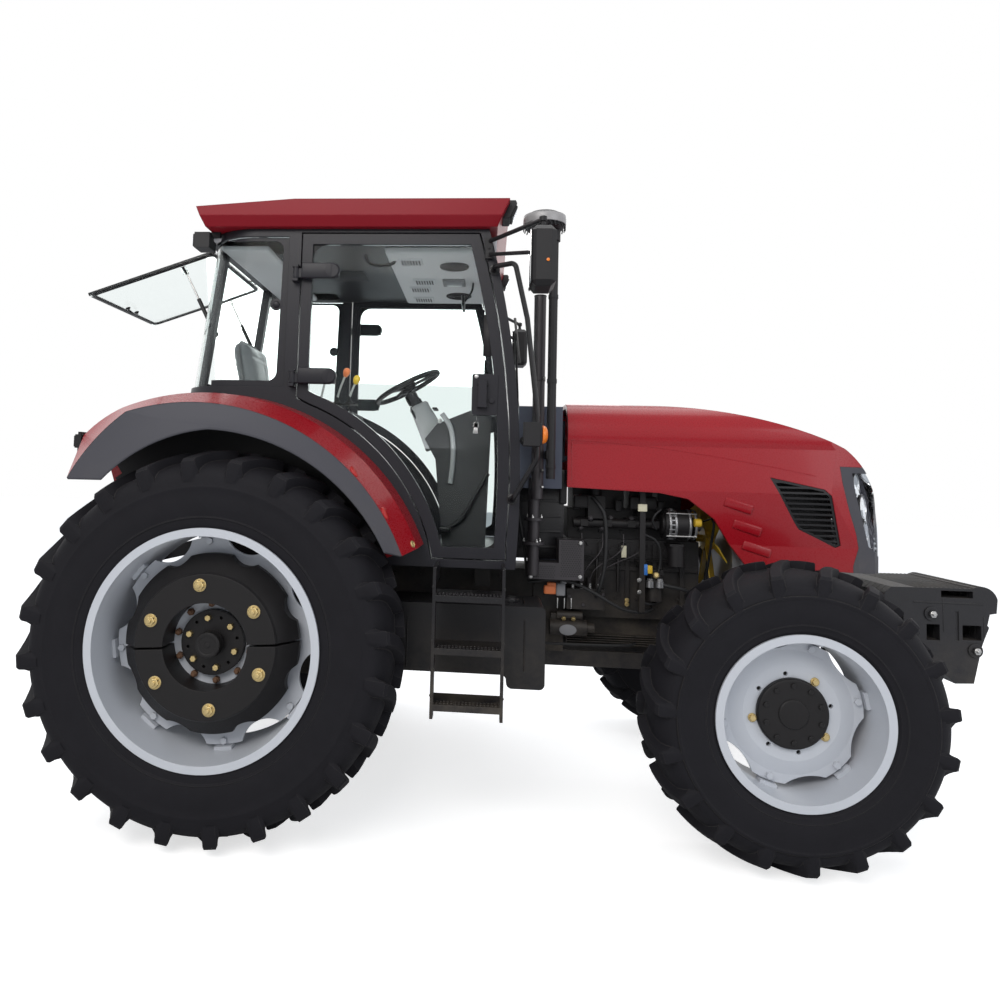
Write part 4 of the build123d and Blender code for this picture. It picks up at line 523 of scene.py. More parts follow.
# %% [markdown]
# A tractor tyre is a moulded carcass with long bars, or lugs, that meet in a chevron at the middle and
# run down over the shoulder. Each lug is drafted: wider at its root than at its top, so that it leaves
# the mould and sheds mud. One lug is laid out as a grid of cross-sections and repeated round both
# sides, half a pitch apart. The solids' tyres are coarse, so these replace them.

# %% Tyres
SIDES = (("right", -1), ("left", 1))


def wheel_point(centre, side, angle, radius, out):
    """Point in a wheel's own terms; out is outwards of its centre plane."""
    return Vector((centre[0] + radius * cos(angle), side * (centre[1] + out),
                   centre[2] + radius * sin(angle)))


def between(pairs, x):
    """Height of a line of points at x, level past its end."""
    for (x0, y0), (x1, y1) in zip(pairs, pairs[1:]):
        if x <= x1:
            return y0 + (y1 - y0) * (x - x0) / (x1 - x0)
    return pairs[-1][1]


def tyre(name, body, node, centre, side, radius, half, bead, flange, bore, fall, lugs, lug_h):
    """Carcass and lugs. Fall is the crown's drop to the shoulder, half the tyre's half width."""
    crown = radius - lug_h
    wall = flange + 0.45 * (crown - flange)
    deep = wall - flange
    shape = [(0.0, crown), (0.2, crown - 0.03 * fall), (0.37, crown - 0.1 * fall), (0.56, crown - 0.3 * fall),
             (0.72, crown - 0.56 * fall), (0.84, crown - 0.86 * fall - 0.004), (0.91, crown - fall - 0.013),
             (0.952, crown - fall - 0.028), (0.975, crown - fall - 0.048), (0.988, crown - fall - 0.07),
             (0.99, wall + 0.048), (0.999, wall + 0.044), (0.999, wall + 0.038), (0.992, wall + 0.034),
             (0.996, wall), (0.99, wall - 0.25 * deep), (0.974, wall - 0.45 * deep),
             (0.95, wall - 0.62 * deep), (0.958, wall - 0.66 * deep), (0.93, wall - 0.72 * deep),
             (0.915, flange + 0.016)]
    profile = [(r, z * half) for z, r in shape]
    profile += [(flange + 0.005, bead + 0.004), (flange - 0.006, bead - 0.003), (bore + 0.002, bead - 0.004)]
    profile = [(r, -z) for r, z in reversed(profile[1:])] + profile
    bm = bmesh.new()
    steps = turns(8 * lugs)
    rings = [[bm.verts.new(wheel_point(centre, side, a, r, z)) for a in steps] for r, z in profile]
    skin(bm, rings, around=True, closed=True)
    reach, end = 0.42 * half, half - 0.004
    trailing = [(-0.003, -reach), (0.3 * end, -0.38 * reach), (0.46 * end, -0.14 * reach),
                (0.72 * end, 0.12 * reach), (end, 0.32 * reach), (9, 0.34 * reach)]
    leading = [(-0.003, -0.5 * reach), (0.2 * end, 0.02 * reach), (0.42 * end, 0.46 * reach),
               (0.7 * end, 0.76 * reach), (end, 0.98 * reach), (9, 0.98 * reach)]
    carcass = [(s * half, r) for s, r in shape[:8]]
    stations = []
    for step in range(9):
        z = -0.003 + (end - 0.006) * step / 8
        top = radius - 0.0006 - fall * max(z / half, 0) ** 1.45
        stations.append((z, top, z * 0.985, between(carcass, max(z, 0)) - 0.012))
    tip = top
    for inset, drop, root_inset, root_drop in ((0.003, 0.012, 0.014, 0.055), (0.0012, 0.036, 0.012, 0.075),
                                               (0.0008, 0.066, 0.009, 0.09), (0.003, 0.098, 0.008, 0.105)):
        stations.append((half - inset, tip - drop, half - root_inset, tip - root_drop))
    last = len(stations) - 1
    for index in range(2 * lugs):
        hand = 1 if index % 2 == 0 else -1
        turn = radians(2.0) + tau / lugs * (index // 2 + (0.5 if hand < 0 else 0.0))
        grid = []
        for place, (z, r, base_z, base_r) in enumerate(stations):
            pinch = 0.0 if place < last - 3 else 0.004 * (place - last + 3)
            a, b = between(trailing, z) + pinch, between(leading, z) - pinch
            across = ((a - 0.013, 1.0), (a - 0.005, 0.62), (a - 0.001, 0.12), (a + 0.004, 0.0),
                      (b - 0.004, 0.0), (b + 0.001, 0.12), (b + 0.005, 0.62), (b + 0.013, 1.0))
            grid.append([bm.verts.new(wheel_point(centre, side, turn + u / r, r + (base_r - r) * down,
                                                  hand * (z + (base_z - z) * down))) for u, down in across])
        skin(bm, grid)
        bm.faces.new(grid[0])
    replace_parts(add_piece(name, bm, RUBBER, body, smooth=28), node)


REAR = {"radius": 0.845, "half": 0.215, "bead": 0.19, "flange": 0.508, "bore": 0.4835, "fall": 0.042,
        "lugs": 24, "lug_h": 0.044}
FRONT = {"radius": 0.641, "half": 0.181, "bead": 0.1525, "flange": 0.355, "bore": 0.3315, "fall": 0.046,
         "lugs": 19, "lug_h": 0.038}
REAR_CENTRE, FRONT_CENTRE = (0.0, 0.963, 0.845), (2.49, 0.878, 0.641)
for hand, side in SIDES:
    for end, centre, sizes in (("rear", REAR_CENTRE, REAR), ("front", FRONT_CENTRE, FRONT)):
        tyre(f"{end}_tread_{hand}", f"{end}_wheel_{hand}", f"{end}_tyre_{hand}", centre, side, **sizes)

# %% [markdown]
# The wheels are held by many fasteners: zinc-plated bolts on the cast weights and hub flange, and bare
# nuts that have rusted on the wheel studs. Small turned and hexagonal forms, placed by angle and
# radius, cap the plain heads underneath.

# %% Wheel fasteners
def wheel_frame(centre, side, angle=0, radius=0, out=0.0, turn=0.0):
    """Frame on a wheel's outer side, at an angle in degrees."""
    return basis(wheel_point(centre, side, radians(angle), radius, out), (0, side, 0), turn)


def fastener(bm, place, radius, height, washer=0.0, stud=0.0, material=0):
    """Hexagonal head, on a washer and with a stud's end through it where these have a radius."""
    rise = 0.0
    if washer:
        lathe(bm, [(0.0, 0), (washer, 0), (washer, 0.0035), (washer - 0.0015, 0.005), (0.0, 0.005)], place,
              28, material)
        rise = 0.005
    hexagon(bm, place @ shift(0, 0, rise), radius, height, material)
    if stud:
        end = rise + height + 0.009
        plug(bm, (stud, stud - 0.002), (0, end - 0.002, end), place, 16, material)


for hand, side in SIDES:
    rear_wheel, front_wheel = f"rear_wheel_{hand}", f"front_wheel_{hand}"
    bm = bmesh.new()
    for index in range(6):
        fastener(bm, wheel_frame(REAR_CENTRE, side, 37 + 60 * index, 0.262, 0.146, index), 0.0225, 0.0135,
                 washer=0.0285, stud=0.01)
        fastener(bm, wheel_frame(REAR_CENTRE, side, 42 + 60 * index, 0.108, 0.0475, index * 0.7), 0.0145,
                 0.0175)
    add_piece(f"rear_wheel_bolts_{hand}", bm, ZINC, rear_wheel, smooth=30)
    bm = bmesh.new()
    for index in range(10):
        fastener(bm, wheel_frame(REAR_CENTRE, side, 24 + 36 * index, 0.166, 0.018, index * 0.4), 0.016,
                 0.0195, stud=0.0095)
    add_piece(f"wheel_nuts_{hand}", bm, RUST, rear_wheel, smooth=30)
    bm = bmesh.new()
    for index, angle in enumerate((54.5, 189.5, 326.0)):
        fastener(bm, wheel_frame(FRONT_CENTRE, side, angle, 0.164, 0.018, index), 0.0142, 0.0105,
                 washer=0.0185)
    add_piece(f"front_wheel_bolts_{hand}", bm, ZINC, front_wheel, smooth=30)
    bm = bmesh.new()
    for index in range(10):
        fastener(bm, wheel_frame(FRONT_CENTRE, side, 18 + 36 * index, 0.118, 0.0415, index), 0.0115, 0.007)
    lathe(bm, [(0.062, 0), (0.062, 0.003), (0.058, 0.006), (0.03, 0.008), (0.0, 0.008)],
          wheel_frame(FRONT_CENTRE, side, out=0.0415), 40)
    add_piece(f"front_hub_details_{hand}", bm, IRON, front_wheel, smooth=30)
    bm = bmesh.new()
    lathe(bm, [(0.0545, 0.06), (0.0575, 0.064), (0.0575, 0.074), (0.0545, 0.078), (0.0545, 0.11),
               (0.05, 0.115), (0.04, 0.115), (0.037, 0.1125), (0.012, 0.1125), (0.01, 0.116), (0.0, 0.116)],
          wheel_frame(REAR_CENTRE, side), 40)
    add_piece(f"rear_hub_cap_{hand}", bm, IRON, rear_wheel, smooth=30)

# %% [markdown]
# Many small parts sit on bigger ones. Rather than guess where a surface is, a ray is sent at the solid
# and the part is set where it lands, standing along the surface's own normal.

# %% Placing parts on a solid
trees = {}


def surface(node, point, toward):
    """Where a ray meets a carried-over solid, and the normal there, or None twice."""
    if node not in trees:
        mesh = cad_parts[node].data
        trees[node] = BVHTree.FromPolygons([v.co.copy() for v in mesh.vertices],
                                           [list(p.vertices) for p in mesh.polygons])
    spot, normal, _, _ = trees[node].ray_cast(Vector(point), Vector(toward).normalized())
    if spot is None:
        return None, None
    return spot, -normal if normal.dot(Vector(toward)) > 0 else normal


def seat_on(node, point, toward, turn=0.0, sunk=0.0005):
    """Frame on the surface that a ray meets, or None."""
    spot, normal = surface(node, point, toward)
    return basis(spot - normal * sunk, normal, turn) if spot else None


def bolts(bm, node, points, toward, radius=0.008, height=0.006, washer=0.0, material=0, turn=0.9,
          sunk=0.0005):
    """Bolt heads where rays from the points meet a solid, each turned a little further than the last."""
    for index, point in enumerate(points):
        place = seat_on(node, point, toward, index * turn, sunk)
        if place:
            fastener(bm, place, radius, height, washer, material=material)


# %% [markdown]
# The driver's seat is two stitched cushions on a sprung base. Each is cut a little small, inflated as
# cloth until its faces crown and its corners pull in, and then gets its piping and a sewn channel.
# The simulated pressure does what stuffing does, which a rounded box cannot.

# %% Seat cushions
def cushion(name, place, size, cap=0.014, frames=20):
    """Inflated pad that stands for the seat; cap is how far a point may move."""
    bm = bmesh.new()
    w, l, t = size
    slab(bm, (-w / 2, -l / 2, -t / 2), (w / 2, l / 2, t / 2), bevel=t * 0.42, segments=5)
    pad = mesh_object(name, bm)
    bpy.context.view_layer.objects.active = pad
    pad.select_set(True)
    remesh = pad.modifiers.new("remesh", "REMESH")
    remesh.mode = "VOXEL"
    remesh.voxel_size = 0.012
    bpy.ops.object.modifier_apply(modifier=remesh.name)
    start = [v.co.copy() for v in pad.data.vertices]
    cloth = pad.modifiers.new("cloth", "CLOTH")
    cloth.settings.use_pressure = True
    cloth.settings.uniform_pressure_force = 4.0
    cloth.settings.effector_weights.gravity = 0.0
    cloth.settings.quality = 5
    cloth.point_cache.frame_end = frames
    for step in range(frames):
        scene.frame_set(step + 1)
    bpy.ops.object.modifier_apply(modifier=cloth.name)
    scene.frame_set(1)
    for vert, first in zip(pad.data.vertices, start):
        moved = vert.co - first
        if moved.length > cap:
            moved *= cap / moved.length
        at = first + moved
        crown = max(0.0, 1 - (2 * at.x / w) ** 2) * max(0.0, 1 - (2 * at.y / l) ** 2)
        channel = 0.006 * exp(-((abs(at.x) - w * 0.29) / 0.006) ** 2)
        channel += 0.005 * exp(-((at.y - l * 0.12) / 0.007) ** 2)
        if at.z > 0:
            at.z += 0.01 * crown - channel
        vert.co = place @ at
    pad.data.materials.append(CLOTH)
    pad.data.shade_smooth()
    smooth = pad.modifiers.new("smooth", "SUBSURF")
    smooth.levels = smooth.render_levels = 1
    bpy.ops.object.modifier_apply(modifier=smooth.name)
    pad.select_set(False)
    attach(pad, "chassis")
    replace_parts(pad, "seat")
    print(name, len(pad.data.polygons), "faces")


seat_place = shift(0.155, 0, 1.803)
back_foot = shift(-0.198, 0, 1.862) @ spun(radians(-10), "Y")
back_place = back_foot @ shift(0.058, 0, 0.245) @ spun(radians(90), "Y")
cushion("seat_cushion", seat_place @ spun(radians(-2), "Y"), (0.452, 0.44, 0.07))
cushion("seat_back", back_place, (0.44, 0.415, 0.072))

bm = bmesh.new()
for wide, long, place in ((0.462, 0.448, seat_place), (0.446, 0.424, back_place)):
    loop = []
    for a in turns(48):
        x, y = (copysign(abs(f) ** 0.35, f) / 2 for f in (cos(a), sin(a)))
        loop.append(place @ Vector((wide * x, long * y, 0)))
    tube(bm, loop + loop[:2], 0.0045, 8, smooth=1)
add_piece("seat_piping", bm, VINYL)

# %% [markdown]
# Two armrests flank the seat. Levers with coloured knobs stand in slots on the console beside it, and
# three pedals with ribbed pads hang in front of it.

# %% Console, levers and armrest
bm = bmesh.new()
for side in (-1, 1):
    slab(bm, (-0.1, side * 0.29 - 0.028, 1.985), (0.235, side * 0.29 + 0.028, 2.03), bevel=0.014, segments=3)
    tube(bm, [(-0.09, side * 0.25, 1.84), (-0.115, side * 0.28, 1.93), (-0.07, side * 0.29, 1.99)], 0.011)
add_piece("armrests", bm, PLASTIC)

bm = bmesh.new()
top = 1.96
for index, (x, y, tall, lean) in enumerate(((0.395, -0.42, 0.15, 0.04), (0.31, -0.42, 0.12, 0.02),
                                            (0.47, -0.48, 0.105, 0.03), (0.2, -0.43, 0.09, -0.015),
                                            (0.12, -0.43, 0.09, -0.015))):
    lathe(bm, [(0.022, -0.002), (0.022, 0.004), (0.014, 0.012), (0.0075, 0.03), (0.0075, 0.034)],
          shift(x, y, top), 20)
    tube(bm, [(x, y, top + 0.02), (x + lean * 0.3, y, top + tall * 0.5), (x + lean, y, top + tall)], 0.0055,
         10, 1)
    lathe(bm, [(0.006, -0.006), (0.011, 0.0), (0.017, 0.013), (0.0185, 0.024), (0.016, 0.035), (0.009, 0.042),
               (0.0, 0.044)], basis((x + lean, y, top + tall - 0.004), (lean, 0, tall)), 20, 2 + index % 4)
slabs(bm, [((0.365, -0.455, top - 0.004), (0.5, -0.38, top + 0.0025), 0.002, 0),
           ((0.085, -0.462, top - 0.004), (0.345, -0.398, top + 0.0025), 0.002, 0),
           ((-0.06, -0.56, top - 0.004), (0.06, -0.4, top + 0.004), 0.003, 6)])
for x in (0.09 + 0.028 * index for index in range(6)):
    slab(bm, (x, -0.56, top - 0.002), (x + 0.02, -0.53, top + 0.007), bevel=0.002, material=6)
add_piece("console_levers", bm, [PLASTIC, STEEL, ORANGE, PLASTIC, YELLOW, PLASTIC, PALE_TRIM])

bm = bmesh.new()
for y, z in ((-0.105, 1.3), (-0.19, 1.3), (0.145, 1.305)):
    tube(bm, [(1.19, y, 1.62), (1.12, y, 1.5), (1.05, y, z + 0.06), (0.985, y, z + 0.025)], 0.011)
    slab(bm, (0.935, y - 0.036, z + 0.004), (0.995, y + 0.036, z + 0.026), bevel=0.005)
    for x in (0.941 + 0.0108 * index for index in range(5)):
        slab(bm, (x, y - 0.031, z + 0.024), (x + 0.005, y + 0.031, z + 0.029), bevel=0.001)
add_piece("pedals", bm, BLACK)

# %% [markdown]
# The dash binnacle carries a round dial cluster, rocker switches, a key and two column stalks. The
# wheel has a padded hub cover and finger grips moulded along its rim.

# %% Dash and steering wheel
bm = bmesh.new()
panel, out = surface("dash", (0.6, 0, 1.99), (1, 0, -0.25))
face = basis(panel, out, pi / 2)
for across, up, size in ((0.0, 0.0, 0.048), (-0.085, 0.005, 0.032), (0.085, 0.005, 0.032)):
    dial = face @ shift(across, up, 0.0)
    rim = size * 0.88
    lathe(bm, [(size, -0.001), (size, 0.007), (size * 0.93, 0.01), (rim, 0.006), (rim, 0.003)], dial)
    lathe(bm, [(rim, 0.002), (size * 0.3, 0.0035), (size * 0.1, 0.0065), (0.0, 0.0065)], dial, 32, 1)
    for index in range(9):
        slab(bm, (-0.001, size * 0.66, 0.002), (0.001, size * 0.82, 0.0045),
             dial @ spun(radians(-120 + 30 * index)), material=2)
    slab(bm, (-0.0012, 0.0, 0.005), (0.0012, size * 0.7, 0.0065), dial @ spun(0.8 + across * 9), material=3)
for side in (-1, 1):
    start = Vector((0.8, side * 0.04, 2.02))
    tube(bm, [start, start + Vector((-0.01, side * 0.06, 0.012)), start + Vector((-0.03, side * 0.15, 0.03))],
         0.0055, 8)
    lathe(bm, [(0.006, 0), (0.01, 0.004), (0.01, 0.03), (0.006, 0.036), (0, 0.036)],
          basis(start + Vector((-0.028, side * 0.14, 0.028)), (-0.02, side, 0.12)), 14)
    tube(bm, [(0.93, side * 0.176, 1.94), (0.99, side * 0.178, 1.86), (1.0, side * 0.178, 1.7),
              (0.985, side * 0.178, 1.56)], 0.014, 12, 2)
for y in (-0.068 + 0.036 * index for index in range(4)):
    slab(bm, (0.868, y, 1.974), (0.895, y + 0.026, 1.984), bevel=0.002)
lock = basis((0.92, -0.171, 1.9), (0, -1, 0))
plug(bm, (0.013, 0.008), (0, 0.006, 0.009), lock, 20, 4)
slab(bm, (-0.002, -0.01, 0.008), (0.002, 0.01, 0.03), lock, bevel=0.001, material=4)
tilt = radians(28)
lathe(bm, [(0.074, 0.0), (0.078, 0.01), (0.066, 0.12), (0.056, 0.23), (0.058, 0.25), (0.05, 0.262),
           (0.03, 0.264)], basis((0.905, 0, 1.77), (-sin(tilt), 0, cos(tilt))), 32, 2)
add_piece("dash_dials", bm, [PLASTIC, BLACK, PALE_TRIM, ORANGE, STEEL])

bm = bmesh.new()
hub = basis((0.72, 0, 2.1), (-sin(tilt), 0, cos(tilt)))
lathe(bm, [(0.046, -0.004), (0.05, 0.004), (0.049, 0.014), (0.04, 0.022), (0.02, 0.026), (0.0, 0.027)], hub)
lathe(bm, [(0.024, 0.0255), (0.023, 0.0285), (0.0, 0.029)], hub, 28, 1)
for a in turns(44):
    slab(bm, (-0.005, -0.006, -0.008), (0.0035, 0.006, 0.004), hub @ spun(a) @ shift(0.179, 0, 0.0),
         bevel=0.0028)
add_piece("steering_wheel_details", bm, [PLASTIC, PALE_TRIM], "steering_wheel")

# %% [markdown]
# Overhead, the roof lining drops in front to hold air vents, round speakers, an inside light and a
# grab handle. It is a thin moulded sheet just under the roof, pale like most cab linings. A small
# mirror hangs in front of it.

# %% Ceiling
bm = bmesh.new()
slabs(bm, [((-0.235, -0.64, 2.752), (1.205, 0.64, 2.776), 0.01, 0),
           ((0.64, -0.56, 2.716), (1.185, 0.56, 2.76), 0.016, 0),
           ((-0.21, -0.56, 2.728), (0.04, 0.56, 2.76), 0.012, 0)], segments=3)
for x, y in ((0.76, -0.42), (0.76, 0.42), (0.8, -0.02), (0.76, 0.16)):
    slab(bm, (x - 0.062, y - 0.052, 2.708), (x + 0.062, y + 0.052, 2.718), bevel=0.004)
    for index in range(7):
        slab(bm, (-0.0055, -0.042, -0.001), (0.0055, 0.042, 0.001),
             shift(x - 0.045 + 0.015 * index, y, 2.7075) @ spun(radians(32), "Y"), material=1)
for y in (-0.33, 0.33):
    speaker = basis((0.985, y, 2.7165), (0, 0, -1))
    lathe(bm, [(0.078, 0.0), (0.078, 0.006), (0.07, 0.01), (0.066, 0.006), (0.02, 0.004), (0.0, 0.008)],
          speaker, 36, 1)
    for r in (0.026, 0.038, 0.05, 0.062):
        lathe(bm, [(r - 0.002, 0.004), (r - 0.001, 0.0075), (r + 0.001, 0.0075), (r + 0.002, 0.004)], speaker,
              36, 1)
slabs(bm, [((0.905, -0.075, 2.705), (1.035, 0.075, 2.718), 0.006, 2),
           ((0.925, -0.055, 2.702), (1.015, 0.055, 2.708), 0.004, 3),
           ((0.25, -0.11, 2.744), (0.46, 0.11, 2.754), 0.004, 1)])
tube(bm, [(0.52, -0.42, 2.75), (0.535, -0.42, 2.7), (0.6, -0.42, 2.69), (0.665, -0.42, 2.7),
          (0.68, -0.42, 2.725)], 0.009, 10, 1)
add_piece("ceiling", bm, [CEILING, TRIM, PALE_TRIM, LENS])

bm = bmesh.new()
slabs(bm, [((1.02, -0.1, 2.56), (1.034, 0.1, 2.625), 0.006, 0),
           ((1.018, -0.094, 2.566), (1.0205, 0.094, 2.619), 0.001, 1)])
tube(bm, [(1.03, 0, 2.6), (1.075, 0, 2.66), (1.08, 0, 2.712)], 0.006, 8)
add_piece("inside_mirror", bm, [PLASTIC, MIRROR])

# %% [markdown]
# The raised rear window hangs in a slim black tube frame, with a handle at its foot and a short arm at
# each side for its gas struts. It is laid out as if shut and swung up with the pane.

# %% Rear window frame
def pane(y, z, inward=0.0):
    """A point of the raised window, given where it lies with the window shut."""
    x = -0.37 + 0.102 * (z - 1.956) / 0.834 - 0.017 + inward
    dx, dz, a = x + 0.29, z - 2.776, radians(64)
    return Vector((-0.29 + dx * cos(a) + dz * sin(a), y, 2.776 - dx * sin(a) + dz * cos(a)))


bm = bmesh.new()
half, foot, head, r = 0.3945, 2.0445, 2.747, 0.035
outline = []
for cy, cz, start in ((half - r, head - r, 0), (r - half, head - r, 90), (r - half, foot + r, 180),
                      (half - r, foot + r, 270)):
    for a in (radians(start + 15 * step) for step in range(7)):
        outline.append(pane(cy + r * cos(a), cz + r * sin(a)))
tube(bm, outline + outline[:2], 0.0128, 12, smooth=0)
handle, reach = 2.08, 0.055
for side in (-1, 1):
    tube(bm, [pane(side * 0.376, 2.56, 0.012), pane(side * 0.368, 2.562, 0.045)], 0.007)
    middle = pane(side * reach, handle, 0.01)
    outward = pane(side * reach, handle, 0.05) - middle
    plug(bm, (0.014, 0.009), (0.0, 0.004, 0.007), basis(middle, outward), 18)
grip = ((-reach, 0.01), (-reach, 0.03), (0.0, 0.036), (reach, 0.03), (reach, 0.01))
tube(bm, [pane(y, handle, inward) for y, inward in grip], 0.0065)
add_piece("rear_window_frame", bm, BLACK, "rear_window")

# %% [markdown]
# The door and quarter windows have a black printed border with rounded inner corners. Small concave
# pieces, just outside the pane, round off the door's straight opening, and a strip with the window's
# catch runs round the quarter pane.

# %% Glass borders
def inner_corner(bm, corner, toward_a, toward_b, size, y, thick=0.0012, steps=8):
    """Fills a corner of an opening up to a soft curve between two points on its sides."""
    c = Vector(corner)
    a, b = c + Vector(toward_a).normalized() * size, c + Vector(toward_b).normalized() * size
    curve = [a.lerp(c, s / steps).lerp(c.lerp(b, s / steps), s / steps) for s in range(steps + 1)]
    layers = [[bm.verts.new((p.x, depth, p.y)) for p in [c] + curve] for depth in (y, y + thick)]
    for layer in layers:
        for index in range(1, steps + 1):
            bm.faces.new((layer[0], layer[index], layer[index + 1]))
    skin(bm, layers, around=True)


def quarter_border(bm, side):
    """The printed band round a quarter window: a strip that lies on the pane's outer face."""
    top, front, low, radius, reach, top_edge, low_edge = 2.733, 0.16, 2.04, 0.045, 0.1892, 2.747, 2.0108
    above = [-0.085 + 0.035 * i for i in range(6)]
    below = [0.08 - 0.044 * i for i in range(7)]
    quarter = turns(32)[:9]
    inner = [(x, top) for x in above]
    inner += [(front - radius + radius * sin(a), top - radius + radius * cos(a)) for a in quarter]
    inner += [(front - 0.012 - radius + radius * cos(a), low + radius - radius * sin(a)) for a in quarter]
    inner += [(x, low) for x in below]
    outer = [(x, top_edge) for x in above] + [(reach, top_edge)] * 9
    outer += [(reach, low_edge)] * 9 + [(x, low_edge) for x in below]
    rows = []
    for (x0, z0), (x1, z1) in zip(inner, outer):
        near, normal = surface("cab_glass", (x0, side * 1.2, z0), (0, -side, 0))
        far, _ = surface("cab_glass", (x1, side * 1.2, z1), (0, -side, 0))
        corners = (near + normal * 0.0004, far + normal * 0.0004, far + normal * 0.0014,
                   near + normal * 0.0014)
        rows.append([bm.verts.new(corner) for corner in corners])
    skin(bm, rows, around=True)


for hand, side in SIDES:
    bm = bmesh.new()
    y = side * 0.7072 + (0.0 if side > 0 else -0.0012)
    inner_corner(bm, (0.31, 2.714), (0, -1), (1, 0), 0.085, y)
    inner_corner(bm, (1.14, 2.714), (-1, 0), (0.11, -1), 0.085, y)
    inner_corner(bm, (1.232, 1.27), (0, 1), (-1, 0), 0.07, y)
    slab(bm, (1.15, y, 2.175), (1.215, y + 0.0012, 2.375), bevel=0.0005)
    add_piece(f"door_glass_corners_{hand}", bm, PLASTIC, f"door_{hand}")

for hand, side in SIDES:
    bm = bmesh.new()
    quarter_border(bm, side)
    lathe(bm, [(0.03, 0.0004), (0.03, 0.0016), (0.017, 0.002), (0.016, 0.008), (0.012, 0.011), (0.0, 0.011)],
          seat_on("cab_glass", (0.134, side * 1.2, 2.416), (0, -side, 0), sunk=0.0), 24)
    add_piece(f"quarter_glass_border_{hand}", bm, FRAME)

# %% [markdown]
# A wiper rests across the windscreen, with its motor's cap at the foot.

# %% Wiper
bm = bmesh.new()
tube(bm, [(1.335, 0.02, 1.985), (1.35, 0.02, 2.02), (1.335, -0.12, 2.16), (1.316, -0.34, 2.36)], 0.006, 8)
slab(bm, (-0.24, -0.004, -0.004), (0.24, 0.004, 0.01), basis((1.323, -0.3, 2.33), (1, 0, 0.05), 0.7),
     bevel=0.002)
plug(bm, (0.018, 0.01), (-0.02, 0.012, 0.02), basis((1.33, 0.02, 1.985), (1, 0, 0.1)), 18)
add_piece("wiper", bm, PLASTIC)

# %% [markdown]
# Lamps need a clear face, a bright reflector and a dark rim to look like lamps. Turn signals get amber
# lenses, the tail lamps red and amber ones, and the headlamps a stack of bowls behind the bonnet's own
# lens.

# %% Lamps
def bezel_lamp(bm, place, wide, tall, face=2, deep=0.01):
    """Rectangular lamp in a dark bezel; face is the lens's material and has fine ribs across."""
    slab(bm, (-wide / 2, -tall / 2, -0.004), (wide / 2, tall / 2, deep), place, bevel=0.004)
    slab(bm, (-wide / 2 + 0.007, -tall / 2 + 0.007, deep - 0.002),
         (wide / 2 - 0.007, tall / 2 - 0.007, deep + 0.003), place, bevel=0.003, material=face)
    rows = max(2, int(tall / 0.014))
    for index in range(rows):
        y = -tall / 2 + 0.012 + (tall - 0.024) * index / (rows - 1)
        slab(bm, (-wide / 2 + 0.01, y - 0.0012, deep + 0.001), (wide / 2 - 0.01, y + 0.0012, deep + 0.0042),
             place, material=face)


for hand, side in SIDES:
    bm = bmesh.new()
    turn_lamp = basis((1.4105, side * 0.9425, 1.794), (1, 0, 0))
    bezel_lamp(bm, basis((1.2795, side * 0.6725, 2.876), (0.9, 0, -0.43), pi / 2), 0.062, 0.112, 3)
    bezel_lamp(bm, basis((-0.3005, side * 0.6525, 2.743), (-1, 0, 0), pi / 2), 0.064, 0.084, 3)
    bezel_lamp(bm, basis((-0.7525, side * 0.83, 1.716), (-1, 0, 0), pi / 2), 0.054, 0.108, 2)
    slab(bm, (-0.7655, side * 0.83 - 0.0175, 1.695), (-0.7625, side * 0.83 + 0.0175, 1.737), bevel=0.001,
         material=1)
    bezel_lamp(bm, turn_lamp @ spun(pi / 2), 0.094, 0.076, 1, 0.008)
    lathe(bm, [(0.04, 0.01), (0.04, 0.016), (0.034, 0.026), (0.02, 0.033), (0.0, 0.035)], turn_lamp, 32, 1)
    add_piece(f"lamp_faces_{hand}", bm, [PLASTIC, AMBER, RED_LENS, LENS])
    bm = bmesh.new()
    for z, x, y, r in ((1.615, 3.0, 0.29, 0.052), (1.5, 3.028, 0.302, 0.058), (1.38, 3.04, 0.3, 0.048)):
        bowl = basis((x, side * y, z), (0.8, side * 0.55, 0.05))
        lathe(bm, [(r, 0.03), (r * 0.97, 0.034), (r * 0.92, 0.03), (r * 0.7, 0.006), (r * 0.4, -0.01),
                   (r * 0.16, -0.014), (0.01, -0.014), (0.01, 0.01), (0.0, 0.013)], bowl, 32)
        lathe(bm, [(r * 1.14, 0.018), (r * 1.14, 0.031), (r * 1.0, 0.034), (r, 0.018)], bowl, 32, 1,
              closed=True)
    add_piece(f"headlamp_bowls_{hand}", bm, [MIRROR, PLASTIC], "bonnet")

# %% [markdown]
# Each mirror has a real reflecting face turned to the driver, a lip round its housing, pivot collars on
# its arm and an amber reflector outside.

# %% Mirrors
for hand, side in SIDES:
    bm = bmesh.new()
    place = basis((1.3415, side * 1.119, 2.524), (-1, 0, 0), pi / 2)
    slab(bm, (-0.11, -0.072, -0.003), (0.11, 0.072, 0.002), place, bevel=0.0018, material=1)
    slab(bm, (-0.116, -0.078, -0.006), (0.116, 0.078, -0.001), place, bevel=0.002)
    for x, y, z in ((1.395, 1.12, 2.7), (1.395, 1.12, 2.656)):
        plug(bm, (0.016, 0.01), (-0.01, 0.01, 0.014), basis((x, side * y, z), (0, 0, 1)), 18)
    plug(bm, (0.007, 0.004), (0.0, 0.003, 0.004), basis((1.412, side * 1.2095, 2.5), (0, side, 0)), 16, 2)
    for z in (2.655, 2.69, 2.725):
        fastener(bm, basis((1.168, side * 0.7418, z), (0, side, 0)), 0.006, 0.005)
    add_piece(f"mirror_faces_{hand}", bm, [PLASTIC, MIRROR, AMBER])

# %% [markdown]
# The bonnet shows its rear seam, a raised crease and three oblong pressings along each flank. Fine
# woven mesh stands behind the side grille and the nose so that they read as openings, and a dark sheet
# just inside each side mesh is painted shade.

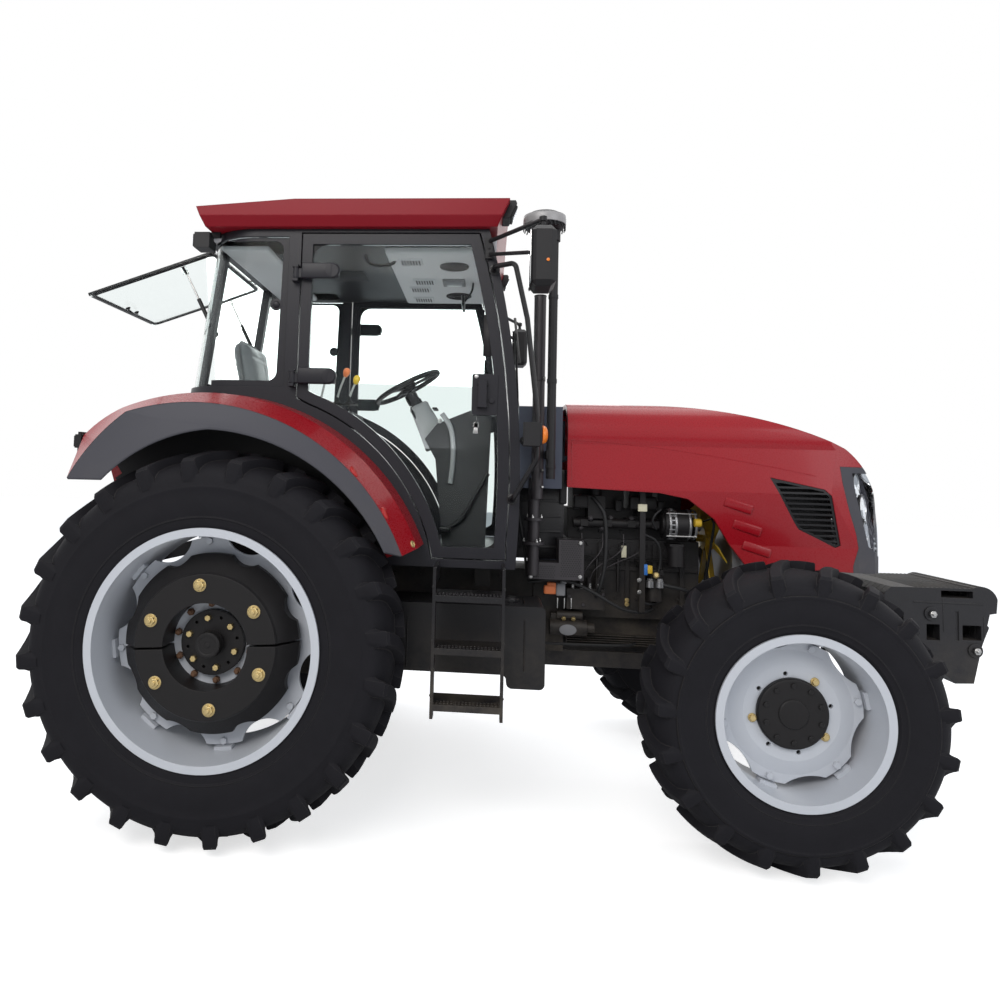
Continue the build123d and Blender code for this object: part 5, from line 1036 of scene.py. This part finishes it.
# %% Bonnet details and grille mesh
bm = bmesh.new()
for side in (-1, 1):
    line = []
    for index in range(15):
        x = 1.6 + 0.085 * index
        spot, normal = surface("bonnet", (x, side * 0.9, 1.8 - 0.0022 * index ** 1.6), (0, -side, 0))
        if spot:
            line.append(spot - normal * 0.003)
    tube(bm, line, 0.0042, 8, smooth=1)
line = []
for index in range(25):
    a = pi * index / 24
    spot, normal = surface("bonnet", (1.606, 0.9 * cos(a), 1.55 + 0.9 * sin(a)), (0, -cos(a), -sin(a) - 0.02))
    if spot and spot.z > 1.5 and abs(spot.y) < 0.45:
        line.append(spot - normal * 0.0016)
if len(line) > 3:
    tube(bm, line, 0.003, 8, smooth=1)
for side in (-1, 1):
    for x, z in ((2.422, 1.494), (2.469, 1.387), (2.519, 1.283)):
        spot, normal = surface("bonnet", (x, side * 0.9, z), (0, -side, 0))
        if spot:
            along = Vector((1, 0, -0.3)).normalized()
            out = (normal - along * normal.dot(along)).normalized()
            place = shift(*spot) @ Matrix((along, out.cross(along), out)).transposed().to_4x4()
            slab(bm, (-0.07, -0.023, -0.008), (0.07, 0.023, 0.008), place, bevel=0.0065, segments=3)
add_piece("bonnet_lines", bm, RED, "bonnet")

bm = bmesh.new()
for side in (-1, 1):
    for row in range(26):
        z = 1.315 + 0.0125 * row
        left_x = 2.59 + max(0.0, (1.6 - z)) * 0.55
        right_x = 2.905 - max(0.0, z - 1.32) * 0.3
        tube(bm, [(left_x, side * 0.372, z), (right_x, side * 0.352, z)], 0.0011, 4, smooth=0)
    for column in range(24):
        x = 2.6 + 0.0125 * column
        top = 1.618 - max(0.0, x - 2.8) * 0.9
        foot = max(1.31, 1.56 - (x - 2.6) * 1.8)
        y = side * (0.3705 - (x - 2.6) * 0.06)
        if top > foot:
            tube(bm, [(x, y, foot), (x, y, top)], 0.0011, 4, smooth=0)
    # A dark sheet just inside the side mesh is painted shade behind the grille.
    slab(bm, (2.6, side * 0.34 - 0.001, 1.3), (2.9, side * 0.34 + 0.001, 1.625), material=1)
for row in range(30):
    z = 1.235 + 0.0145 * row
    tube(bm, [(2.986, -0.215, z), (2.998, 0, z), (2.986, 0.215, z)], 0.0012, 4, smooth=1)
for column in range(31):
    y = -0.217 + 0.0145 * column
    tube(bm, [(2.992, y, 1.235), (2.988, y, 1.655)], 0.0012, 4, smooth=0)
add_piece("grille_mesh", bm, [BLACK, HOSE], "bonnet")

# %% [markdown]
# The engine's right side is a crowd of small, readable things: bolts, core plugs, injection pipes, an
# alternator, connectors and hoses. Each group is one mesh, laid over the castings underneath.

# %% Engine block details
bm = bmesh.new()
for index in range(6):
    x = 1.655 + 0.108 * index
    bolts(bm, "engine", [(x, -0.8, 1.5), (x + 0.03, -0.8, 1.33), (x, -0.8, 0.985), (x, -0.8, 0.78)],
          (0, 1, 0), 0.009, 0.008)
for x in (1.7, 1.803, 1.905, 2.01):
    place = seat_on("engine", (x, -0.8, 1.255), (0, 1, 0))
    if place:
        lathe(bm, [(0.027, 0.0), (0.027, 0.006), (0.022, 0.007), (0.019, 0.002), (0.0, 0.001)], place, 24)
for x in (1.66, 1.77, 1.88, 1.99, 2.1):
    slab(bm, (x - 0.018, -0.21, 1.44), (x + 0.018, -0.185, 1.5), bevel=0.005)
    slab(bm, (x - 0.006, -0.212, 1.02), (x + 0.006, -0.188, 1.19), bevel=0.003)
for z in (1.185, 1.195, 1.205):
    tube(bm, [(1.655, -0.206, z), (2.15, -0.206, z)], 0.0026, 6, smooth=0)
for index in range(5):
    slab(bm, (1.62, -0.214 - 0.002 * index, 0.745 + 0.012 * index), (2.24, -0.186, 0.749 + 0.012 * index),
         bevel=0.001)
slab(bm, (1.64, -0.262, 1.452), (1.79, -0.198, 1.522), bevel=0.012)
slab(bm, (1.93, -0.25, 1.452), (2.07, -0.198, 1.522), bevel=0.012)
add_piece("engine_block_details", bm, CAST)

bm = bmesh.new()
for x in (1.65, 1.758, 1.866, 1.974):
    bolts(bm, "auxiliaries", [(x - 0.032, -0.8, 1.404), (x + 0.032, -0.8, 1.352)], (0, 1, 0), 0.01, 0.009,
          0.014, turn=0)
bolts(bm, "auxiliaries", [(1.62, -0.8, 1.0), (1.69, -0.8, 0.96), (1.79, -0.8, 1.015)], (0, 1, 0), 0.009,
      0.008)
for index in range(4):
    x = 1.64 + 0.044 * index
    lathe(bm, [(0.01, -0.004), (0.01, 0.014), (0.0075, 0.016), (0.0075, 0.024), (0.0, 0.024)],
          basis((x, -0.262, 1.04), (0, 0, 1)), 12, 1)
    tube(bm, [(x, -0.262, 1.062), (x, -0.264, 1.095), (x + 0.03, -0.258, 1.15),
              (1.69 + 0.108 * index, -0.224, 1.235), (1.69 + 0.108 * index, -0.206, 1.32)], 0.0033, 8)
for index in range(3):
    slab(bm, (1.556 + 0.035 * index, -0.306, 0.938), (1.562 + 0.035 * index, -0.296, 0.992), bevel=0.0015,
         material=1)
bolts(bm, "auxiliaries", [(1.594, -0.8, 0.886), (1.643, -0.8, 0.886)], (0, 1, 0), 0.012, 0.01, material=2)
union = [(x, -0.8, z) for x, z in ((1.788, 0.968), (1.79, 0.945), (1.93, 0.976), (1.93, 0.955))]
bolts(bm, "engine", union, (0, 1, 0), 0.009, 0.008, 0.012, material=2, turn=0)
for x, z in ((1.962, 1.102), (1.963, 1.042)):
    fastener(bm, basis((x, -0.343, z), (0, -1, 0)), 0.008, 0.008, washer=0.011, material=1)
add_piece("injection_pipes", bm, [PIPE, STEEL, ZINC])

bm = bmesh.new()
alternator = basis((2.1, -0.268, 1.385), (1, 0, 0))
for height in (0.012, 0.04, 0.11, 0.138):
    lathe(bm, [(0.0775, height), (0.0795, height + 0.003), (0.0795, height + 0.01), (0.0775, height + 0.013)],
          alternator, 40, closed=True)
for a in turns(20):
    fin = alternator @ spun(a) @ shift(0.0775, 0, 0.026)
    slab(bm, (-0.003, -0.0035, -0.014), (0.0022, 0.0035, 0.014), fin, bevel=0.001)
for a in turns(4, pi / 4):
    bolt = alternator @ spun(a) @ shift(0.0815, 0, 0.0)
    lathe(bm, [(0.005, 0.0), (0.005, 0.15), (0.0, 0.152)], bolt, 10, 1)
pulley = basis((2.262, -0.268, 1.385), (1, 0, 0))
lathe(bm, [(0.03, 0.001), (0.034, 0.004), (0.028, 0.01), (0.034, 0.016), (0.03, 0.02), (0.012, 0.022),
           (0.0, 0.022)], pulley, 32, 1)
add_piece("alternator", bm, [ALLOY, STEEL])

bm = bmesh.new()
lathe(bm, [(0.019, 0.0), (0.021, 0.002), (0.021, 0.03), (0.017, 0.034), (0.0, 0.034)],
      basis((2.232, -0.349, 1.4), (1, 0, 0)), 24)
slabs(bm, [((1.484, -0.366, 1.016), (1.545, -0.334, 1.06), 0.008, 2),
           ((1.545, -0.368, 1.01), (1.592, -0.332, 1.074), 0.007, 3)], segments=3)
slabs(bm, [((1.952, -0.352, 1.448), (1.998, -0.342, 1.486), 0.003, 1),
           ((1.895, -0.218, 1.2), (1.921, -0.2145, 1.262), 0.001, 1),
           ((1.5, -0.362, 1.052), (1.546, -0.338, 1.076), 0.006, 2),
           ((1.568, -0.362, 1.07), (1.598, -0.338, 1.092), 0.004, 3),
           ((1.986, -0.345, 1.128), (2.004, -0.318, 1.182), 0.003, 4),
           ((2.004, -0.345, 1.136), (2.028, -0.318, 1.176), 0.003, 0)])
lathe(bm, [(0.013, 0.0), (0.016, 0.003), (0.016, 0.02), (0.01, 0.026), (0.0, 0.026)],
      basis((2.052, -0.3, 1.124), (0, -1, 0.2)), 18, 5)
for x in (2.024, 2.074):
    plug(bm, (0.02, 0.016), (0.0, 0.032, 0.036), basis((x, -0.3, 1.062), (0, 0, 1)), 20, 6)
    hexagon(bm, basis((x, -0.3, 1.098), (0, 0, 1)), 0.015, 0.01, 6)
lathe(bm, [(0.0, 0.0), (0.044, 0.0), (0.044, 0.0022), (0.041, 0.0032), (0.0, 0.0032)],
      basis((1.614, -0.3025, 0.83), (0, -1, 0)) @ Matrix.Scale(0.62, 4, (0, 1, 0)), 40, 7)
add_piece("engine_fittings", bm, [YELLOW, CREAM, ORANGE, PALE_TRIM, BLUE, ZINC, ALLOY, PALE_TRIM])

bm = bmesh.new()
hoses = [(0.0105, 12, [(1.729, -0.3, 1.515), (1.765, -0.33, 1.47), (1.79, -0.335, 1.425),
                       (1.798, -0.335, 1.3), (1.792, -0.335, 1.155), (1.77, -0.325, 1.05),
                       (1.755, -0.29, 1.0)]),
         (0.0085, 12, [(1.405, -0.352, 1.072), (1.52, -0.36, 1.092), (1.596, -0.356, 1.09),
                       (1.717, -0.35, 1.044), (1.867, -0.35, 0.955), (1.95, -0.335, 0.938),
                       (2.01, -0.3, 0.938), (2.05, -0.235, 0.945)]),
         (0.0075, 10, [(1.327, -0.425, 1.56), (1.345, -0.43, 1.43), (1.38, -0.42, 1.25),
                       (1.395, -0.38, 1.1)]),
         (0.005, 8, [(2.07, -0.345, 1.462), (2.04, -0.352, 1.44), (2.02, -0.35, 1.4), (2.05, -0.32, 1.36)]),
         (0.006, 8, [(1.992, -0.335, 1.33), (2.06, -0.33, 1.3), (2.08, -0.3, 1.2), (2.06, -0.3, 1.12)]),
         (0.01, 10, [(2.08, -0.29, 1.08), (2.12, -0.305, 1.07), (2.18, -0.3, 1.06), (2.24, -0.25, 1.04)]),
         (0.007, 10, [(1.98, -0.3, 0.99), (2.015, -0.3, 0.975), (2.05, -0.262, 0.975), (2.1, -0.215, 0.985)]),
         (0.007, 10, [(1.5, -0.3, 0.758), (1.76, -0.302, 0.76), (1.92, -0.3, 0.764), (1.96, -0.255, 0.766)])]
for y in (0.225, 0.26):
    hoses.append((0.01, 10, [(1.56, y, 1.3), (1.7, y + 0.02, 1.33), (1.9, y + 0.02, 1.3), (2.08, y, 1.2),
                             (2.24, y - 0.02, 1.08)]))
for radius, steps, points in hoses:
    tube(bm, points, radius, steps)
add_piece("engine_hoses", bm, HOSE)

# %% [markdown]
# The belt runs over the crank, fan and alternator pulleys. It is a flat ribbon along their common
# tangents.

# %% Belt
bm = bmesh.new()
pulleys = ((0.0, 1.305, 0.07), (-0.268, 1.385, 0.033), (0.0, 0.96, 0.085))
middle = Vector((-0.09, 1.22))
rows = []
for a in turns(120):
    y, z, r = max(pulleys, key=lambda p: p[0] * cos(a) + p[1] * sin(a) + p[2])
    spot = Vector((y + r * cos(a), z + r * sin(a)))
    out = (spot - middle).normalized() * 0.007
    corners = ((2.334, 0), (2.348, 0), (2.346, 1), (2.336, 1))
    rows.append([bm.verts.new((x, spot.x + far * out.x, spot.y + far * out.y)) for x, far in corners])
skin(bm, rows, around=True, closed=True)
add_piece("fan_belt", bm, HOSE)

# %% [markdown]
# The exhaust has flanges with studs, clamps and perforated heat shields. The holes are dark dimples of
# painted shade, set out in staggered rows. The intake stack has bands, and its bowl a ring of vanes and a
# cloudy band.

# %% Exhaust and intake
PIPE_X, PIPE_Y = 1.432, -0.48
bm = bmesh.new()
for z, r, away in ((1.279, 0.048, 0.8), (1.398, 0.04, 0.3)):
    for a in turns(3, away):
        bolt = basis((1.421 + r * cos(a), -0.45 + r * sin(a), z + 0.0068), (0, 0, 1))
        fastener(bm, bolt, 0.0072, 0.008, stud=0.0035)
for z in (1.56, 1.64, 2.1):
    lathe(bm, [(0.0302, -0.011), (0.0325, -0.011), (0.0325, 0.011), (0.0302, 0.011)],
          basis((PIPE_X, PIPE_Y, z), (0, 0, 1)), 32, 1, closed=True)
    fastener(bm, basis((PIPE_X + 0.022, PIPE_Y - 0.03, z), (0.4, -1, 0)), 0.006, 0.01)
lathe(bm, [(0.0305, 0.006), (0.0315, 0.0), (0.0275, 0.0), (0.0275, -0.05), (0.0, -0.05)],
      basis((PIPE_X, PIPE_Y, 2.5195), (0, 0, 1)), 32, 2)
add_piece("exhaust_clamps", bm, [STEEL, PIPE, HOSE])

bm = bmesh.new()
# Each hole is a flat dark hexagon, painted shade where the shield is pierced.
for x0, x1, z0, z1 in ((1.562, 1.662, 1.12, 1.288), (1.415, 1.535, 1.112, 1.172)):
    row = 0
    z = z0
    while z < z1:
        x = x0 + 0.006 * (row % 2)
        while x < x1:
            hexagon(bm, basis((x, -0.4401, z), (0, -1, 0)), 0.0036, 0.0006, chamfer=0.3)
            x += 0.012
        z += 0.0105
        row += 1
for x, z in ((1.655, 1.285), (1.655, 1.118), (1.412, 1.17), (1.412, 1.112)):
    fastener(bm, basis((x, -0.44, z), (0, -1, 0)), 0.0075, 0.006, washer=0.01, material=1)
add_piece("heat_shield_holes", bm, [HOSE, STEEL])

bm = bmesh.new()
stack = basis((1.49, -0.56, 0), (0, 0, 1))
for z in (1.66, 2.08, 2.5, 2.8):
    lathe(bm, [(0.0222, z - 0.01), (0.0245, z - 0.01), (0.0245, z + 0.01), (0.0222, z + 0.01)], stack, 28,
          closed=True)
bowl = basis((1.44, -0.56, 2.826), (0, 0, 1))
for a in turns(28):
    vane = bowl @ spun(a) @ shift(0.103, 0, 0.018) @ spun(0.5, "X")
    slab(bm, (-0.002, -0.0022, -0.012), (0.002, 0.0022, 0.012), vane)
lathe(bm, [(0.1045, 0.03), (0.106, 0.034), (0.1064, 0.06), (0.1054, 0.072), (0.1045, 0.076)], bowl, 56, 2,
      closed=True)
plug(bm, (0.02, 0.008), (0.0955, 0.1, 0.106), bowl, 24, 1)
add_piece("intake_bands", bm, [PLASTIC, STEEL, CLOUDY])

# %% [markdown]
# Steps have raised saw-tooth edges for grip, and the tank has two straps, a cap and a drain plug. A dark
# lining closes the bulkhead between the cab and the engine.

# %% Steps and tank
bm = bmesh.new()
for side in (-1, 1):
    slab(bm, (1.34, side * 0.283 - 0.0025, 1.186), (1.584, side * 0.283 + 0.0025, 1.5515), bevel=0.002)
    for index in range(4):
        slab(bm, (1.36, side * 0.2855 - 0.002, 1.24 + 0.08 * index),
             (1.57, side * 0.2855 + 0.002, 1.252 + 0.08 * index), bevel=0.0015)
slab(bm, (1.5805, -0.2855, 1.186), (1.5865, 0.2855, 1.5515), bevel=0.002)
slab(bm, (1.562, -0.3, 1.47), (1.6, 0.3, 1.65), bevel=0.01)
add_piece("bulkhead_lining", bm, BLACK)

for hand, side in SIDES:
    bm = bmesh.new()
    for z in (0.608, 0.846, 1.072):
        spot, _ = surface("steps", (1.115, side * 0.965, z + 0.1), (0, 0, -1))
        if not spot or abs(spot.z - z) > 0.06:
            continue
        for row_y in (0.945, 0.975):
            for index in range(19):
                tooth = shift(0.972 + 0.0158 * index, side * row_y, spot.z - 0.0005)
                slab(bm, (-0.005, -0.002, 0), (0.005, 0.002, 0.006), tooth, bevel=0.0015)
    for x in (0.962, 1.268):
        for z in (0.66, 0.89, 1.12):
            fastener(bm, basis((x, side * 0.9852, z), (0, side, 0)), 0.0075, 0.0025)
    add_piece(f"step_teeth_{hand}", bm, BLACK)

bm = bmesh.new()
for x in (0.83, 1.37):
    line = []
    for y, z, ty, tz in ((-0.3, 1.1, 0, -1), (-0.5, 1.1, 0, -1), (-0.7, 1.1, 0, -1), (-0.9, 0.95, 1, 0),
                         (-0.9, 0.83, 1, 0), (-0.9, 0.72, 1, 0), (-0.6, 0.5, 0, 1), (-0.4, 0.5, 0, 1)):
        spot, normal = surface("fuel_tank", (x, y, z), (0, ty, tz))
        if spot:
            line.append(spot - normal * 0.001)
    for a, b in zip(line, line[1:]):
        if (b - a).length < 0.35:
            tube(bm, [a, b], 0.0045, 6, smooth=0)
spot, _ = surface("fuel_tank", (1.1, -0.52, 0.5), (0, 0, 1))
fastener(bm, basis(spot, (0, 0, -1)), 0.014, 0.012, washer=0.018)
spot, _ = surface("fuel_tank", (1.3, -0.62, 1.2), (0, 0, -1))
cap = basis(spot, (0, 0, 1))
lathe(bm, [(0.046, -0.002), (0.046, 0.016), (0.04, 0.022), (0.01, 0.024), (0.0, 0.024)], cap, 32)
for a in turns(12):
    grip = cap @ spun(a) @ shift(0.0455, 0, 0.008)
    slab(bm, (-0.003, -0.004, -0.007), (0.003, 0.004, 0.007), grip, bevel=0.0015)
add_piece("tank_details", bm, BLACK)

# %% [markdown]
# Red fenders carry two small reflectors and a round plug at the front foot, and a black liner under the
# arch. The liner is found by rays sent outwards from the arch's middle. The front weights show recess lines,
# tie bolts and a ribbed step along the top.

# %% Fender and front weight details
def lining(bm, rows):
    """Joins neighbouring points into a sheet, leaving holes where a ray found nothing."""
    grid = [[bm.verts.new(spot) if spot else None for spot in row] for row in rows]
    for low, high in zip(grid, grid[1:]):
        for index in range(len(low) - 1):
            corners = [low[index], low[index + 1], high[index + 1], high[index]]
            if all(corners):
                bm.faces.new(corners)
    for vert in [v for v in bm.verts if not v.link_faces]:
        bm.verts.remove(vert)


ARCH_X, ARCH_Z = -0.12, 0.88
for hand, side in SIDES:
    roof_rows, wall_rows = [], []
    for step in range(61):
        a = radians(4 + 2.8 * step)
        out = Vector((cos(a), 0, sin(a)))
        row = []
        for index in range(8):
            centre = Vector((ARCH_X, side * (0.78 + 0.034 * index), ARCH_Z))
            spot, _ = surface("fenders", centre + out * 0.86, out)
            row.append(spot - out * 0.004 if spot and 0.95 < (spot - centre).length < 1.13 else None)
        roof_rows.append(row)
        row = []
        for index in range(9):
            start = Vector((ARCH_X, side * 0.99, ARCH_Z)) + out * (0.62 + 0.054 * index)
            spot, _ = surface("fenders", start, (0, -side, 0))
            row.append(spot + Vector((0, side * 0.004, 0)) if spot and 0.7 < abs(spot.y) < 0.82 else None)
        wall_rows.append(row)
    bm = bmesh.new()
    lining(bm, roof_rows)
    lining(bm, wall_rows)
    print("liner", hand, len(bm.faces))
    add_piece(f"arch_liner_{hand}", bm, PLASTIC)

for hand, side in SIDES:
    bm = bmesh.new()
    for angle in (32.6, 45.2):
        a = radians(angle)
        out = Vector((cos(a), 0, sin(a)))
        spot, normal = surface("fenders", Vector((ARCH_X, side * 1.025, ARCH_Z)) + out * 1.4, -out)
        if spot:
            long_way = (1, 0, 0) if abs(normal.z) > 0.9 else (0, 1, 0)
            place = basis(spot, normal) @ Matrix.Scale(1.7, 4, long_way)
            lathe(bm, [(0.017, -0.001), (0.017, 0.003), (0.012, 0.006), (0.0, 0.007)], place, 24, 2)
    spot, normal = surface("fenders", (0.86, side * 1.3, 1.295), (0, -side, 0))
    lathe(bm, [(0.016, -0.001), (0.016, 0.003), (0.011, 0.005), (0.009, 0.002), (0.0, 0.002)],
          basis(spot, normal), 24, 1)
    add_piece(f"fender_plugs_{hand}", bm, [PLASTIC, ZINC, RED_LENS])

bm = bmesh.new()
_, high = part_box("front_weights")
for side in (-1, 1):
    for x, z in ((3.393, 0.987), (3.596, 0.816)):
        fastener(bm, basis((x, side * (high[1] - 0.0005), z), (0, side, 0)), 0.0175, 0.012, stud=0.009,
                 material=1)
        lathe(bm, [(0.034, 0.0), (0.034, 0.003), (0.0, 0.003)], basis((x, side * 0.296, z), (0, side, 0)), 28)
for x, z0, z1 in ((3.45, 0.9, 1.06), (3.64, 0.88, 0.98)):
    for side in (-1, 1):
        spot, _ = surface("front_weights", (x, side * 0.6, (z0 + z1) / 2), (0, -side, 0))
        slab(bm, (x - 0.0022, spot.y - 0.0015, z0), (x + 0.0022, spot.y + 0.0015, z1), bevel=0.001)
for index in range(14):
    x = 3.33 + 0.022 * index
    spot, _ = surface("front_weights", (x, -0.27, 1.3), (0, 0, -1))
    slab(bm, (x - 0.004, -0.285, spot.z - 0.001), (x + 0.004, 0.285, spot.z + 0.0025), bevel=0.0012)
add_piece("weight_details", bm, [GREY_CAST, STEEL])

# %% [markdown]
# Door hinges get their pins and round-ended covers, and each handle a lock, with a bunch of keys hanging
# from the right one. Grab rails stand on bolted feet.

# %% Door fittings and rail feet
for hand, side in SIDES:
    bm = bmesh.new()
    for z in (2.05, 2.562):
        lathe(bm, [(0.0135, -0.028), (0.015, -0.025), (0.015, 0.025), (0.0135, 0.028)],
              basis((0.238, side * 0.748, z), (0, 0, 1)), 20)
        inner, outer = sorted((side * 0.7265, side * 0.762))
        slab(bm, (0.266, inner, z - 0.026), (0.415, outer, z + 0.05), bevel=0.006, segments=3)
        lathe(bm, [(0.0, -0.0175), (0.032, -0.0175), (0.038, -0.0115), (0.038, 0.0115), (0.032, 0.0175),
                   (0.0, 0.0175)], basis((0.415, (inner + outer) / 2, z + 0.012), (0, 1, 0)), 32)
    spot, normal = surface(f"door_{hand}", (1.122, side * 0.9, 2.075), (0, -side, 0))
    lock = basis(spot, normal)
    plug(bm, (0.01, 0.0075), (-0.001, 0.005, 0.007), lock, 20, 1)
    if side < 0:
        ring = basis((1.127, side * 0.77, 1.868), (1, 0, 0))
        loop = circle(ring, 0.013, 24)
        tube(bm, loop + loop[:2], 0.0011, 6, 1, smooth=0)
        for lean in (-0.1, 0.06, 0.22):
            key = shift(1.127, side * 0.768, 1.856) @ spun(lean, "Y")
            slab(bm, (-0.01, -0.001, -0.026), (0.01, 0.001, -0.004), key, bevel=0.0008, material=1)
            slab(bm, (-0.0035, -0.0009, -0.055), (0.0035, 0.0009, -0.024), key, bevel=0.0006, material=1)
    slab(bm, (1.236, side * 0.7045 - 0.01, 1.93), (1.262, side * 0.7045 + 0.01, 2.03), bevel=0.004,
         material=2)
    add_piece(f"door_fittings_{hand}", bm, [FRAME, STEEL, PLASTIC], f"door_{hand}")
    bm = bmesh.new()
    for x, z in ((1.196, 2.59), (1.3, 1.5)):
        foot = basis((x, side * 0.7203, z), (0, side, 0))
        lathe(bm, [(0.026, 0.0), (0.026, 0.004), (0.017, 0.006), (0.014, 0.016), (0.0125, 0.016)], foot, 28)
        for a in (0.6, 2.7, 4.8):
            fastener(bm, foot @ shift(0.0195 * cos(a), 0.0195 * sin(a), 0.0038), 0.0042, 0.003)
    add_piece(f"rail_feet_{hand}", bm, BLACK)

# %% [markdown]
# Behind the cab there are quick couplings with coloured dust caps, bolts round the axle and gearbox
# covers, and the top link's pin and threads.

# %% Rear and underside details
bm = bmesh.new()
for a in turns(6):
    for side in (-1, 1):
        fastener(bm, basis((0.132 * cos(a), side * 0.8275, 0.845 + 0.132 * sin(a)), (0, -side, 0)), 0.011,
                 0.009)
covers = [(-0.9, -0.18 + 0.09 * index, z) for index in range(5) for z in (0.58, 0.72, 0.98, 1.08)]
bolts(bm, "transmission", covers, (1, 0, 0), 0.009, 0.008, turn=0, sunk=0)
for side in (-1, 1):
    seam = [(0.42 + 0.14 * index, side * 0.9, z) for index in range(7) for z in (0.68, 1.08)]
    bolts(bm, "transmission", seam, (0, -side, 0), 0.009, 0.008, turn=0, sunk=0)
for index in range(4):
    coupling = basis((-0.318, -0.075 + 0.05 * index, 1.235), (-1, 0, 0.15))
    lathe(bm, [(0.017, -0.04), (0.017, 0.02), (0.02, 0.022), (0.02, 0.034), (0.017, 0.036)], coupling, 20, 1)
    lathe(bm, [(0.019, 0.034), (0.021, 0.038), (0.021, 0.056), (0.016, 0.06), (0.0, 0.06)], coupling, 20,
          2 + index % 2)
add_piece("rear_details", bm, [CAST, STEEL, RED_LENS, BLUE])

bm = bmesh.new()
for side in (-1, 1):
    plug(bm, (0.0125, 0.009), (0.02, 0.036, 0.039), basis((-0.88, 0, 0.98), (0, side, 0)), 18)
for index in range(12):
    x = -0.79 - 0.0028 * index
    lathe(bm, [(0.013, 0.0), (0.0142, 0.0007), (0.013, 0.0014)], basis((x, 0, 0.98), (-1, 0, 0)), 16,
          closed=True)
add_piece("top_link_pins", bm, STEEL, "top_link")

# %% [markdown]
# Four shallow ribs pressed along the roof panel keep it stiff.

# %% Roof ribs
bm = bmesh.new()
for y in (-0.36, -0.12, 0.12, 0.36):
    line = []
    for index in range(9):
        spot, _ = surface("roof", (-0.08 + 0.135 * index, y, 3.2), (0, 0, -1))
        line.append(spot - Vector((0, 0, 0.008)))
    tube(bm, line, 0.012, 10, smooth=1)
add_piece("roof_ribs", bm, ROOF_RED)
